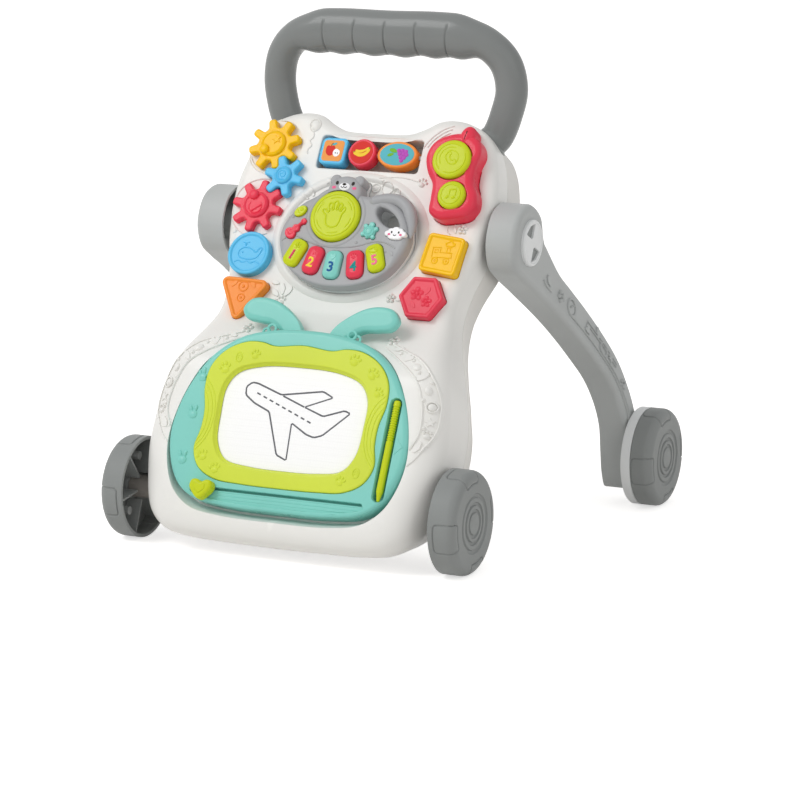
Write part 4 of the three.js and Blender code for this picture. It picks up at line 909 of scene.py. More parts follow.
def union_loop(loops, centre, count=240):
    """Outer outline of loops that all lie round a centre."""
    centre = Vector(centre)
    points = []
    for k in range(count):
        angle = math.tau * k / count
        ray = direction(angle)
        reach = 0.0
        for loop in loops:
            for a, b in zip(loop, loop[1:] + loop[:1]):
                side = b - a
                spread = ray.cross(side)
                if abs(spread) > 1e-9:
                    along = (a - centre).cross(side) / spread
                    share = (a - centre).cross(ray) / spread
                    if -1e-9 <= share <= 1 + 1e-9:
                        reach = max(reach, along)
        points.append(centre + ray * reach)
    return points


# ------------ handle

TUBE_RADIUS = 14.2
GRIP_HALF_HEIGHT = 20.5
GRIP_HALF_DEPTH = 15.0
GRIP_PITCH = 29.8
GRIP_BACK = 183  # behind the front axle
HANDLE_ROOT = Vector((94, 5, (PLAY.inverted() @ LEG_PIVOT).z))
ROOT_DIRECTION = Vector((0.57, 0.82, 0)).normalized()


def handle_knots():
    """Middle line of the handle from the left root to the right one, in millimetres."""
    roots = [PLAY @ (HANDLE_ROOT + ROOT_DIRECTION * along) / MM for along in (-22, -8, 4, 14)]
    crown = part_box("handle")[1].z / MM - GRIP_HALF_HEIGHT
    y = GRIP_BACK + FRONT_AXLE.y / MM
    free = [(108.5, y + 6, crown - 68), (113, y + 8, crown - 45), (108, y + 6, crown - 22),
            (93, y + 2, crown - 6), (72, y, crown - 1), (43, y, crown + 0.5)]
    right = roots + [Vector(p) for p in free]
    left = [Vector((-p.x, p.y, p.z)) for p in right]
    return left + [Vector((0, y, crown))] + right[::-1]


def grip_groove(x, up):
    """Depth of the incised finger ribs at a place round the grip; up is 1 at its top and -1 below."""
    bend = 10 * max(0.0, up - 0.15) ** 2
    near = min(abs(x - bend - GRIP_PITCH * j) for j in range(-2, 3))
    return 1.5 * max(0.0, 1 - near / 1.1) * (1 - ramp(up, 0.42, 0.6))


def build_handle():
    """The bent tube with its finger grip, ribs and root collars."""
    dense = spline_points(handle_knots(), 24)
    path = []
    for a, b in zip(dense, dense[1:]):
        pieces = max(1, round((b - a).length / (0.55 if abs(a.x) < 75 and a.z > 400 else 1.6)))
        path += [a.lerp(b, i / pieces) for i in range(pieces)]
    path.append(dense[-1])
    last = len(path) - 1

    def place(k, angle):
        centre = path[k]
        along = (path[min(k + 2, last)] - path[max(k - 2, 0)]).normalized()
        outward = along.cross(Vector((0, -1, 0))).normalized()
        across = outward.cross(along).normalized()
        grip = (1 - ramp(abs(centre.x), 60, 98)) * ramp(centre.z, 343.7, 384)
        up, out = -math.sin(angle), math.cos(angle)
        half = TUBE_RADIUS + (GRIP_HALF_HEIGHT - TUBE_RADIUS) * grip
        deep = TUBE_RADIUS + (GRIP_HALF_DEPTH - TUBE_RADIUS) * grip
        if up < 0:
            half -= 1.9 * grip * math.cos(math.pi * centre.x / GRIP_PITCH) ** 2
        shrink = 1 - grip_groove(centre.x, up) * grip / half
        return centre - outward * (half * up * shrink) + across * (deep * out * shrink)

    bm = rolled_tube(last, 56, place)
    finished("handle_tube", bm, "handle", "body", IN_MM, smooth=45, replaces=["handle"])
    collars = bmesh.new()
    profile = [(12.7, 1.5), (16.2, 1.5), (16.8, 2.1), (16.8, 4.6), (16.2, 5.4), (14.0, 7.0), (12.7, 7.0)]
    for side in (-1, 1):
        turn = turn_about("Z", -side * math.degrees(math.atan2(*ROOT_DIRECTION.xy)))
        lie = turn_about("X", -90)
        seat = Matrix.Translation((side * HANDLE_ROOT.x, HANDLE_ROOT.y, HANDLE_ROOT.z))
        turned(collars, profile, 64, seat @ turn @ lie)
    finished("handle_collars", collars, "handle", "body", PLAY)


# ------------ wheels

WHEEL_RADIUS = 44.0
WHEEL_WIDTH = 23.0
WHEEL_RIB = (29.5, 1.6, 14, 1)
TRIM_PROFILE = [
    (13, 0), (42.8, 0), (43.6, 0.3), (44, 1), (44, 8.2), (43.8, 8.8), (43.1, 9), (43.1, 5), (13, 5),
]


def wheel_profile(hub_from):
    """Half section of a cup-shaped wheel, (radius, depth from the open inner side)."""
    R, W = WHEEL_RADIUS, WHEEL_WIDTH
    inside = [(3.3, W - 3.5), (3.3, hub_from), (12, hub_from), (12, W - 5.5), (R - 3, W - 7), (R - 3, 0.4),
              (R - 2.6, 0), (R - 0.4, 0)]
    tread = [(R, 0.4 + 0.6 * i) for i in range(24)]
    shoulder = []
    for k in range(1, 13):
        angle = math.pi / 2 * k / 12
        shoulder.append((R - 8 * (1 - math.cos(angle)), W - 8 + 8 * math.sin(angle)))
    face = [(35.4 - 0.7 * i, W) for i in range(12)]
    rings = [(25.6, W), (24.6, W - 1.2), (22.4, W - 1.6), (21.4, W - 0.5), (18.4, W - 0.3), (17.6, W - 1.6),
             (15.6, W - 1.7), (14.8, W - 0.3), (12.4, W), (11.6, W - 1.3), (9.6, W - 1.4), (8.8, W - 0.2),
             (6, W), (0.01, W), (0.01, W - 3.5)]
    return inside + tread + shoulder + face + rings


def groove_depth(around, along):
    """Depth of the groove that outlines a tread block, from the place on the developed tread."""
    half_wide, low, high, corner = 12.5, 5.0, 32.0, 3.5
    dx = abs(around) - (half_wide - corner)
    dy = abs(along - (low + high) / 2) - ((high - low) / 2 - corner)
    outside = math.hypot(max(dx, 0), max(dy, 0)) + min(max(dx, dy), 0) - corner
    return 1.3 * max(0.0, 1 - abs(outside) / 0.8)


def engrave_tread(bm):
    """Sinks the outlines of four tread blocks into a wheel that lies on its open side."""
    for vert in bm.verts:
        radius = math.hypot(vert.co.x, vert.co.y)
        height = vert.co.z
        if radius < 26 or height < 1 or (radius < WHEEL_RADIUS - 1 and height < WHEEL_WIDTH - 8.5):
            continue
        quarter = (math.degrees(math.atan2(vert.co.y, vert.co.x)) + 45) % 90 - 45
        along = height + 0.9 * (WHEEL_RADIUS - radius)
        depth = groove_depth(math.radians(quarter) * (0.35 * WHEEL_RADIUS + 0.65 * radius), along)
        if depth > 0:
            share = min(1.0, max(0.0, (height - (WHEEL_WIDTH - 8)) / 8))
            inward = Vector((-vert.co.x / radius, -vert.co.y / radius, 0)) * (1 - share)
            vert.co += (inward + Vector((0, 0, -share))).normalized() * depth


def axle_place(x, axle):
    """Matrix of a place on an axle's line, x in millimetres from the middle."""
    return IN_MM @ Matrix.Translation((x, axle.y / MM, axle.z / MM))


def build_wheel(body, side, seat, hub_from, trimmed=False):
    """One wheel: turned cup with hub rings, outlined tread blocks, inner ribs and room for a trim."""
    steps = 4 * bpy.context.scene.walker_finish.wheel_steps
    bm = turned(bmesh.new(), wheel_profile(hub_from), steps)
    engrave_tread(bm)
    if trimmed:
        for vert in bm.verts:
            radius = math.hypot(vert.co.x, vert.co.y)
            if vert.co.z < 4.3 and radius > WHEEL_RADIUS - 2.9:
                vert.co.xy *= (WHEEL_RADIUS - 0.8) / radius
    for degrees in range(30, 390, 60):
        place = turn_about("Z", degrees) @ at(26.5, 0, 9.5)
        bmesh.ops.create_cube(bm, size=1, matrix=place @ Matrix.Diagonal(WHEEL_RIB))
    for degrees in (0, 120, 240):
        bmesh.ops.create_cone(
            bm, cap_ends=True, segments=24, radius1=3.6, radius2=4.2, depth=12,
            matrix=turn_about("Z", degrees) @ at(28, 0, 10.5),
        )
    seat = seat @ turn_about("X", 8) @ turn_about("Y", 90 * side)
    finished(f"{body}_cup", bm, "grey", body, seat, smooth=35, replaces=[body])


def build_wheels():
    """Both pairs of wheels and the light rings at the rear."""
    front_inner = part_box("right_front_wheel")[0].x / MM
    rear_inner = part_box("right_rear_wheel")[0].x / MM
    for word, side in SIDES:
        build_wheel(f"{word}_front_wheel", side, axle_place(side * front_inner, FRONT_AXLE), 13.3)
        build_wheel(f"{word}_rear_wheel", side, axle_place(side * rear_inner, REAR_AXLE), 2, trimmed=True)
        inner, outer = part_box(f"{word}_wheel_ring")
        start = inner.x if side > 0 else outer.x
        bm = turned(bmesh.new(), TRIM_PROFILE, 128)
        seat = axle_place(start / MM, REAR_AXLE) @ turn_about("Y", 90 * side)
        finished(f"{word}_wheel_trim", bm, "light_grey", f"{word}_rear_wheel", seat,
                 replaces=[f"{word}_wheel_ring"])


# ------------ legs

LEG_SPINE = [
    (0.14, 0.15, 22), (0.27, 0.45, 18.3), (0.38, 0.73, 18), (0.49, 0.92, 18.3), (0.6, 1, 18),
    (0.7, 0.97, 16.5), (0.79, 0.73, 14.6), (0.88, 0.38, 13.8), (0.96, 0.03, 16), (1.03, -0.26, 17.5),
    (1.085, -0.48, 12),
]
LEG_INNER = 127.0
LEG_THICK = 27.0
LEG_WALL = 2.6
LEG_ROUND = 5.5
LEG_SPLAY = 32.7
LEG_BOW = 29.6
HUB_RADIUS = 33.0
SLEEVE = [(11.3, 0.6), (15, 0.6), (15, 25), (11.3, 25)]
LEG_LINE = Vector(((REAR_AXLE - LEG_PIVOT).y, (REAR_AXLE - LEG_PIVOT).z)) / MM


def leg_point(share, bow):
    """Point of a leg's spine, rearwards and up from its pivot."""
    along = LEG_LINE.normalized()
    return LEG_LINE * share + Vector((-along.y, along.x)) * bow * LEG_BOW


def leg_outline():
    """Side view of a leg round its pivot."""
    rear, front = [], []
    for i, (share, bow, half) in enumerate(LEG_SPINE):
        before = leg_point(*LEG_SPINE[max(i - 1, 0)][:2])
        after = leg_point(*LEG_SPINE[min(i + 1, len(LEG_SPINE) - 1)][:2])
        along = (after - before).normalized()
        square = Vector((-along.y, along.x)) * half
        rear.append(leg_point(share, bow) + square)
        front.append(leg_point(share, bow) - square)
    lean = math.atan2(LEG_LINE.y, LEG_LINE.x)
    turns = (50, 90, 135, 180, 225, 265, 305)
    hub = [direction(lean + math.radians(turn)) * HUB_RADIUS for turn in turns]
    return spline_points([(p.x, p.y, 0) for p in rear[::-1] + hub + front], 9, closed=True)


def leg_plane(side):
    """Matrix from a leg's side view to the walker's frame."""
    across, up, out = Vector((0, side, 0)), Vector((0, 0, 1)), Vector((side, 0, 0))
    turn = Matrix((across, up, out)).transposed().to_4x4()
    place = Vector((side * LEG_INNER * MM, LEG_PIVOT.y, LEG_PIVOT.z))
    return Matrix.Translation(place) @ turn @ IN_MM


def splay_at(drop):
    """Outward step of a leg at a depth below its pivot."""
    return LEG_SPLAY * ramp(drop, HUB_RADIUS, -LEG_LINE.y - 20)


def build_leg(word, side):
    """One hollow leg with rounded outer edges, the sleeve of its pivot and its raised pattern."""
    bm = bmesh.new()
    base = bm.faces.new([bm.verts.new((side * p.x, p.y, 0)) for p in leg_outline()])
    skin = bmesh.ops.extrude_face_region(bm, geom=[base])["geom"]
    top = [item for item in skin if isinstance(item, bmesh.types.BMFace)]
    bmesh.ops.translate(bm, verts=top[0].verts, vec=(0, 0, LEG_THICK))
    bmesh.ops.delete(bm, geom=[base], context="FACES_ONLY")
    bmesh.ops.recalc_face_normals(bm, faces=bm.faces)
    bmesh.ops.bevel(bm, geom=list(top[0].edges), offset=LEG_ROUND, offset_type="OFFSET", segments=6,
                    profile=0.5, affect="EDGES", clamp_overlap=False, material=-1)
    for level in range(-250, 40, 6):
        bmesh.ops.bisect_plane(bm, geom=bm.verts[:] + bm.edges[:] + bm.faces[:], dist=1e-4,
                               plane_co=(0, level, 0), plane_no=(0, 1, 0))
    if sum(f.normal.z for f in bm.faces) < 0:
        bmesh.ops.reverse_faces(bm, faces=bm.faces)
    bmesh.ops.solidify(bm, geom=bm.faces[:], thickness=LEG_WALL)
    for vert in bm.verts:
        vert.co.z += splay_at(-vert.co.y)
    turned(bm, SLEEVE, 64)
    bmesh.ops.recalc_face_normals(bm, faces=bm.faces)
    moulding(f"{word}_leg", bm, "leg", f"{word}_leg", leg_plane(side), smooth=40)
    relief(f"{word}_leg_pattern", lambda new: draw_leg_pattern(new, side), f"{word}_leg_moulding", "leg",
           f"{word}_leg", leg_plane(side), 2.0)


def draw_leg_pattern(bm, side):
    """Raised outlines along a leg: a pair of lines with small motifs between them."""
    def spot(share, bow, off=0.0):
        here = leg_point(share, bow + off / LEG_BOW)
        return side * here.x, here.y

    for off, first, last in ((-7.5, 2, 8), (-4.5, 4, 8), (3.2, 3, 6), (6, 3, 6)):
        points = [spot(share, bow, off) for share, bow, _ in LEG_SPINE[first:last]]
        line(bm, points, 0.85)
    line(bm, [spot(0.17, 0.2, -6), spot(0.2, 0.28, -7.5), spot(0.24, 0.38, -7)], 0.8)
    marks = (
        (0.2, 0.28, -1, leaf, 12, 30), (0.3, 0.52, -1, flower, 11, 0), (0.5, 0.94, -2, heart, 9, 20),
        (0.56, 0.98, 8.5, leaf, 11, -30), (0.66, 0.98, 3, star, 10, 0), (0.76, 0.84, 1, paw, 10, 0),
    )
    for share, bow, off, figure, size, turn in marks:
        x, y = spot(share, bow, off)
        figure(bm, x, y, size, turn=turn * side, high=1.5)
    x, y = spot(0.38, 0.73)
    ring(bm, x, y, 7.4, 0.9)
    plate(bm, [(x + 6 * math.cos(0.7 * k), y + 6 * math.sin(0.7 * k)) for k in range(9)], 0.6, 0.25)
    for dx in (-2.2, 2.2):
        dome(bm, x + dx, y + 1, 0.9, 1.2, 1.6)
    x, y = spot(0.61, 0.99, 1)
    ring(bm, x, y, 6, 0.9)


def build_cap(word, side):
    """Hub cap of a leg with a raised rim and two fan-shaped recesses, whose floors get darker grey sheets as
    painted shade.
    """
    low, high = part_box(f"{word}_leg_cap")
    radius, thick = (high.z - low.z) / 2 / MM, (high.x - low.x) / MM
    fan = [(radius * 0.24, -radius * 0.08), (radius * 0.68, -radius * 0.5), (radius * 0.8, 0),
           (radius * 0.68, radius * 0.5), (radius * 0.24, radius * 0.08)]
    fans = [moved(rounded_loop(fan, 0.8), 0, 0, turn) for turn in (20, 200)]
    floor = thick - min(2.2, thick * 0.6)
    bm = bmesh.new()
    wells = [well(loop, floor, lip=0.4) for loop in fans]
    panel(bm, ellipse_loop(radius, count=120), 0, thick, 0.9, wells, steps=4)
    ring(bm, 0, 0, radius - 1.6, 1.0, lift=thick - 0.2)
    # painted shade: darker grey sheets laid just above the recess floors make them look shaded
    shade = bmesh.new()
    for loop in fans:
        lofted(shade, inset_loop(loop, 0.05), [(0, floor - 0.3), (0, floor + 0.08)])
    middle = (low + high) / 2
    start = Matrix.Translation(((low if side > 0 else high).x, middle.y, middle.z))
    turn = turn_about("Y", 90 * side)
    seat = start @ turn @ IN_MM
    finished(f"{word}_cap_moulding", bm, "light_grey", f"{word}_leg", seat, replaces=[f"{word}_leg_cap"])
    finished(f"{word}_cap_recesses", shade, "grey", f"{word}_leg", seat)


def build_legs():
    """Both legs with their hub caps and pins."""
    for word, side in SIDES:
        build_leg(word, side)
        build_cap(word, side)
        plain(f"{word}_pivot_pin", "light_grey")
        plain(f"{word}_rear_axle", "steel")


# ------------ outlines of the pieces

BODY_FOOT = -384.2
ROOM = 0.5  # round what lifts out of the front
BODY_HALF = [
    (0, BODY_FOOT), (45, BODY_FOOT + 0.5), (84, BODY_FOOT + 2), (108, BODY_FOOT + 7), (125.5, BODY_FOOT + 22),
    (135.5, BODY_FOOT + 48), (138.8, -292), (136.4, -258), (129.5, -228), (119.5, -200), (112, -175),
    (110, -155), (113, -133), (120, -107), (125, -72), (124.5, -48), (120.5, -28), (114.5, -10), (105, 5),
    (90, 14), (74, 18), (58, 16.5), (45, 9), (32, 3.5), (16, 2), (0, 2),
]
PHONE_KNOTS = [
    (0, -52), (13, -51), (21, -44), (22.5, -33), (19, -21), (20, -8), (25, 6), (21.5, 19), (10, 25.5),
    (-4, 26.5), (-18, 21), (-25, 8), (-24, -6), (-19, -18), (-20, -32), (-20.5, -44), (-12, -51),
]
PIANO_KNOTS = [
    (1, -151), (27, -147), (48, -135), (61, -113), (62, -98), (55, -81), (41, -70), (23, -66), (5, -65),
    (-25, -65.5), (-44.5, -75), (-56, -90), (-60, -107), (-53, -126), (-39, -140), (-19, -149),
]
BOARD_HALF = [
    (0, -115), (50, -114), (80, -109), (98, -96), (108, -77), (112, -55), (108, -28), (98, -3), (84, 17),
    (62, 33), (34, 41), (0, 43.5),
]
FRAME_HALF = [
    (0, -95), (35, -94.5), (62, -92), (78, -83), (85, -68), (82, -50), (82, -34), (86, -14), (84, 4),
    (73, 19), (55, 28), (40, 29), (27, 26.5), (0, 29),
]
SCREEN_HALF = [
    (0, -79.5), (32, -78.5), (55, -74), (65, -60), (67.5, -35), (66.5, -12), (58, 1), (36, 8.5), (0, 10.5),
]
EAR_KNOTS = [
    (12, 38), (17, 50), (28, 61), (42, 69), (56, 71.5), (68, 69), (74, 60), (69, 52), (57, 49.5), (44, 48),
    (34, 43), (27, 39), (19, 37),
]
# Places on the play panel
PHONE_PLACE = Vector((87.5, -29))
CALL = Vector((87.5, -28.5))
TUNE = PHONE_PLACE + direction(math.radians(13 - 90)) * 33
PIANO_MIDDLE = (-6, -95)
BEAR = Vector((-6.6, -64.6))
DRUM = Vector((-9.4, -87.2))
DRUM_ROOM = 23.8
COLLAR_RADIUS = 29
COVER_FOOT = 4.15
BUTTON_FOOT, BUTTON_TOP = 7.3, 18.4
CLOUD = Vector((51.0, -99.5))
MARACA = Vector((-43.6, -84.6))
TURTLE = Vector((26.0, -99.0))
GUITAR = Vector((-44.0, -100.4))
ROUND, SQUARE, HEXAGON = Vector((-89.5, -123.0)), Vector((93.0, -111.0)), Vector((83.0, -151.0))
# Places on the drawing board
PEN = Vector((93.8, -53.0))
PEN_TURN = -0.8
WIPER = Vector((-68.0, -104.0))
EAR_SHIFT = 2.4
BASE_DEEP = -18
SCREEN_LEVEL = -3
SHAPES = {
    "round_block": ellipse_loop(20, count=96, x=ROUND.x, y=ROUND.y),
    "triangle_block": rounded_loop([(-87.5, -188.5), (-60.5, -147), (-111.5, -145.5)], 5),
    "square_block": rounded_box(35, 35, 4, *SQUARE, -6.5),
    "hexagon_block": rounded_loop([tuple(p) for p in ellipse_loop(21, count=6, x=HEXAGON.x, y=HEXAGON.y)], 3),
}


def both_sides(half, count):
    """Smooth outline from the knots of its right half, mirrored."""
    return smooth_loop(half + on_side(-1, half[-2:0:-1]), count)


BODY = both_sides(BODY_HALF, 400)
PHONE = moved(smooth_loop(PHONE_KNOTS, 140), *PHONE_PLACE, 10)
PIANO = smooth_loop(PIANO_KNOTS, 200)
COLLAR = ellipse_loop(COLLAR_RADIUS, count=120, x=DRUM.x, y=DRUM.y)
BEAR_LOOPS = [ellipse_loop(16.4, 15.4, count=80, x=BEAR.x, y=BEAR.y)] + [
    ellipse_loop(5.2, count=40, x=BEAR.x + side * 11.2, y=BEAR.y + 11.4) for side in (-1, 1)]
BOARD_EDGE = both_sides(BOARD_HALF, 240)
FRAME_EDGE = both_sides(FRAME_HALF, 240)
SCREEN_EDGE = both_sides(SCREEN_HALF, 160)


# ------------ shells

SEAM = (PLAY.inverted() @ LEG_PIVOT).z
BACK = 70.0
BELLY_FROM, BELLY_FULL = -166.0, -238.0
BOARD_IN_PLAY = PLAY.inverted() @ BOARD


def belly_rise(x, v):
    """Height of the front over the play panel: none at the chest, the board's plane at the belly."""
    origin = BOARD_IN_PLAY.translation
    slope = BOARD_IN_PLAY.to_3x3() @ Vector((0, 1, 0))
    plane = origin.z + (v - origin.y) * slope.z / slope.y - 2.4
    return plane * ramp(-v, -BELLY_FROM, -BELLY_FULL)


def front_round(x, v):
    """Radius of the front's edge: small at the chest, full at the belly and fuller at the chin."""
    belly = 11 + 11 * ramp(-v, 155, -BELLY_FULL)
    return belly + (29 - belly) * ramp(-v, 296, 336)


def rear_round(x, v):
    """Radius of the back's edge."""
    return 9 + 9 * ramp(-v, 155, -BELLY_FULL)


def tuck_underside(bm):
    """Lifts the underside so that it lies level over the ground at every depth."""
    for vert in bm.verts:
        if vert.co.y < BELLY_FULL:
            foot = BODY_FOOT - vert.co.z * math.tan(math.radians(29.7))
            vert.co.y = BELLY_FULL + (vert.co.y - BELLY_FULL) * (foot - BELLY_FULL) / (BODY_FOOT - BELLY_FULL)


def build_front_shell():
    """Front shell: one bent face with a full rounded edge and the toys' pockets."""
    toy = [inset_loop(loop, -ROOM) for loop in (PIANO, COLLAR, *BEAR_LOOPS)]
    wells = [
        well(rounded_box(98, 31, 3, 0, -21), -18, lip=1.2),
        well(inset_loop(PHONE, -ROOM), -5, lip=0.7),
        well(union_loop(toy, PIANO_MIDDLE), -10.3, lip=0.7),
    ]
    bm = bmesh.new()
    panel(bm, BODY, SEAM + 0.15, belly_rise, front_round, wells, steps=9, pitch=6.5)
    cutters = bmesh.new()
    for loop in SHAPES.values():
        lofted(cutters, inset_loop(loop, -ROOM), [(0, -5.3), (0, 20)])
    for name in ("yellow_gear", "red_gear"):
        spot = spin_centre(f"{name}_spin")
        lofted(cutters, ellipse_loop(25.2, count=96, x=spot.x, y=spot.y), [(0, -2), (0, 20)])
    lofted(cutters, inset_loop(BOARD_EDGE, -ROOM), [(0, BASE_DEEP - 0.3), (0, 30)], BOARD_IN_PLAY)
    bm = carved(bm, cutters)
    tuck_underside(bm)
    rim = [(63.5, -1), (64, 0.3), (65.6, 1.7), (67.4, 2.4), (69.4, 2.3), (71.8, 1.4), (74, 0.3), (75, -1)]
    turned(bm, rim, 160, at(0, -99) @ Matrix.Diagonal((1, 59 / 72, 1, 1)))
    moulding("front_shell", bm, "shell", "body", PLAY)


def build_rear_shell():
    """Rear shell: drawn-in back with a rounded edge and the tank's bay."""
    mirrored = [Vector((-p.x, p.y)) for p in BODY[::-1]]
    bay = rounded_box(145, 85, 14.5, 0, -262)
    bm = bmesh.new()
    panel(bm, mirrored, -SEAM + 0.15, BACK, rear_round, [well(bay, -(SEAM - 4), lip=1.0)], steps=7,
          draft=lambda x, v: 6 * ramp(-v, 72, 155))
    bm.transform(turn_about("Y", 180))
    tuck_underside(bm)
    moulding("rear_shell", bm, "rear", "body", PLAY)


def build_shells():
    """Front and rear shells with their pivot bosses, raised patterns, screws and vents."""
    build_front_shell()
    build_rear_shell()
    bosses = bmesh.new()
    boss = [(0, 100), (18, 100), (18, LEG_INNER - 1), (17.3, LEG_INNER - 0.3), (0, LEG_INNER - 0.3)]
    seat = Matrix.Translation((0, LEG_PIVOT.y, LEG_PIVOT.z)) @ IN_MM
    for side in (-1, 1):
        turned(bosses, boss, 72, seat @ turn_about("Y", 90 * side))
    finished("pivot_bosses", bosses, "shell", "body")
    relief("chest_pattern", draw_chest_pattern, "front_shell_moulding", "shell", "body", PLAY, 1.8)
    relief("belly_bands", draw_belly_bands, "front_shell_moulding", "shell", "body", BOARD, 1.9)
    build_back_details()


def build_back_details():
    """Screw bosses and sound slots of the rear shell."""
    screws = bmesh.new()
    profile = [(3.2, 68.6), (3.2, 71.0), (6, 71.5), (6.6, 70.6), (6.6, 68.6)]
    for x, v in ((84, -30), (96, -120), (60, -206), (108, -300)):
        for side in (-1, 1):
            turned(screws, profile, 40, at(side * x, v) @ turn_about("X", 180))
    for row in range(5):
        line(screws, [(-26, -150 - 6 * row, -70), (26, -150 - 6 * row, -70)], 1.1)
    finished("rear_bosses", screws, "rear", "body", PLAY)


def draw_chest_pattern(bm):
    """Raised lines on the play panel: balloon, arcs, bubbles, leaves and small marks."""
    ring(bm, -59, 3.5, 5, 0.65, stretch=1.15)
    dome(bm, -59, 3.5, 4.2, 4.9, 0.9)
    line(bm, [(-59, -3), (-58, -8), (-60.5, -12), (-58, -16), (-60.5, -20), (-60, -24)], 0.55)
    for radius, start, end in ((35.5, 116, 150), (38.4, 112, 153), (41.3, 109, 156)):
        ring(bm, *PHONE_PLACE, radius, 0.55, start=start, end=end)
    for name, start, end in (("yellow_gear", 95, 262), ("red_gear", 60, 300)):
        spot = spin_centre(f"{name}_spin")
        ring(bm, spot.x, spot.y, 27.2, 0.6, start=start, end=end)
    star(bm, -31, -49.5, 7, high=1.1)
    for x, v, size, turn in (
        (-46, -60, 9, 35), (-51, -65, 7, 60), (97, -86, 6, 20), (60, -152, 7, -70),
        (-52, -151, 11, 15), (-46, -153, 11, -30), (-58, -155, 10, 50), (-60, -146, 8, 80),
    ):
        leaf(bm, x, v, size, turn=turn, high=1.3)
    ring(bm, 14, -52.5, 3.8, 0.65)
    ring(bm, 25, -52, 5.4, 0.65)
    ring(bm, 35, -55.5, 3.2, 0.65)
    dome(bm, 20, -46.5, 1.5, 1.5, 0.9)
    dome(bm, 14, -52.5, 2.4, 2.4, 0.7)
    line(bm, [(16, -44), (23, -42), (34, -41), (43, -42), (52, -44)], 0.5)
    paw(bm, 56.5, -45, 9, turn=-20, high=1.2)
    line(bm, [(90, -80), (90, -87), (93, -90)], 0.6)
    line(bm, [(96, -79), (96, -85)], 0.6)
    flower(bm, 104, -85, 9, high=1.2)
    flower(bm, 52, -151.5, 9, high=1.2)
    paw(bm, -51, -162, 9, turn=10, high=1.2)
    dome(bm, -113, -100, 3.2, 3.2, 1.0)


BELLY_INNER = [(66, 38), (84, 27), (97, 18), (108, 8), (115, -6), (119, -22), (119, -36), (113, -50)]
BELLY_OUTER = [(72, 42), (90, 35), (105, 28), (118, 16), (128, 0), (132, -18), (131, -36), (124, -50)]


def draw_belly_bands(bm):
    """Raised vine either side of the drawing board: a broad band with pods, leaves and small figures."""
    for side in (-1, 1):
        for knots, tube in ((BELLY_INNER, 0.95), (BELLY_OUTER, 1.05)):
            line(bm, on_side(side, knots), tube)
        plate(bm, on_side(side, BELLY_INNER[1:] + BELLY_OUTER[:0:-1]), 0.45, 0.2)
        motifs(bm, 1.5, ((flower, 70, 46, 10, 0), (leaf, 79, 38, 9, -70), (heart, 92, 30, 9, -35)), side)
        dome(bm, side * 103.5, 21.5, 4.2, 3.2, 1.4, turn=-35 * side)
        leaf(bm, side * 112, 13, 11, turn=-45 * side, high=1.5)
        dome(bm, side * 119.5, 1.5, 3, 4, 1.4, turn=15 * side)
        ring(bm, side * 125, -12, 4.4, 0.7, lift=0.4)
        dome(bm, side * 125, -12, 3.4, 3.4, 1.3)
        star(bm, side * 126, -25, 9, turn=12, high=1.4)
        paw(bm, side * 126, -36, 8.5, turn=-15 * side, high=1.5)
        leaf(bm, side * 119.5, -47, 11, turn=150 * side, high=1.4)
        line(bm, on_side(side, ((124, -50), (119, -58), (113, -64))), 0.7)
        buds = ((83, 33.5), (98, 27.5), (107.5, 16.5), (120.5, 9), (117, -7), (122, -30.5), (127.5, -44))
        for x, v in on_side(side, buds):
            dome(bm, x, v, 1.7, 1.7, 1.2)


# ------------ gears


GEAR_MODULE = 5.0
TOOTH_TIP, TOOTH_ROOT, TOOTH_HALF = 4.3, 4.6, 3.5
GEAR_THICK = 8.0


def root_radius(teeth):
    """Radius of a gear at the roots of its teeth."""
    return GEAR_MODULE * teeth / 2 - TOOTH_ROOT


def gear_loop(teeth, turn):
    """Toothed outline: straight fingers with round tips and soft roots."""
    reach, root, half = GEAR_MODULE * teeth / 2 + TOOTH_TIP, root_radius(teeth), TOOTH_HALF
    corners = []
    for k in range(teeth):
        tooth = [(root, -half * 1.15), (reach, -half), (reach, half), (root, half * 1.15)]
        corners += [tuple(p) for p in moved(tooth, 0, 0, turn + 360 * k / teeth)]
    return rounded_loop(corners, 2.6, 6)


def build_gears():
    """Three gears with rounded fingers, raised hubs with a figure and posts to turn them by."""
    gears = (
        ("yellow", 8, -72.5, -1.7, (-6.5, -6.5)), ("blue", 6, 169, 0.3, None),
        ("red", 8, -143, -1.7, (-3.2, 8.6)),
    )
    for word, teeth, turn, foot, post in gears:
        spot = spin_centre(f"{word}_gear_spin")
        top = foot + GEAR_THICK
        profile = [(0.6, foot + 0.1), (0, foot + 0.8), *edge_profile(foot + 0.9, top, 1.7, 4)]
        bm = lofted(bmesh.new(), gear_loop(teeth, turn), profile)
        wide = root_radius(teeth) * 0.78
        hub = [(0, 0.0), (wide, 0.0), (wide, 1.8), (wide - 0.7, 2.9), (wide - 2.0, 3.4), (wide - 2.6, 3.0),
               (wide - 3.2, 2.6), (0, 3.0)]
        turned(bm, hub, 64, at(0, 0, top - 0.6))
        if post:
            knob = [(0, 0), (4.9, 0), (4.5, 3.9), (4.0, 4.9), (2.9, 5.5), (0, 5.6)]
            turned(bm, knob, 40, at(*post, top - 0.4))
        moulding(f"{word}_gear", bm, word, f"{word}_gear", PLAY @ at(spot.x, spot.y), smooth=40)
        figure = bmesh.new()
        figure_top = top + 2.2
        if word == "yellow":
            star(figure, 3.2, 3.2, 9, turn=20, high=1.6, lift=figure_top)
        elif word == "blue":
            spiral = [direction(0.5 * i) * (0.5 + 0.19 * i) for i in range(24)]
            line(figure, spiral, 0.55, at(0, 0, figure_top))
        else:
            line(figure, [(-2.5, -6.5), (5.5, -0.5)], 1.0, at(0, 0, figure_top))
            ring(figure, 0.5, -2, 6.2, 0.55, lift=figure_top, start=150, end=400)
        finished(f"{word}_gear_figure", figure, word, f"{word}_gear", PLAY @ at(spot.x, spot.y))


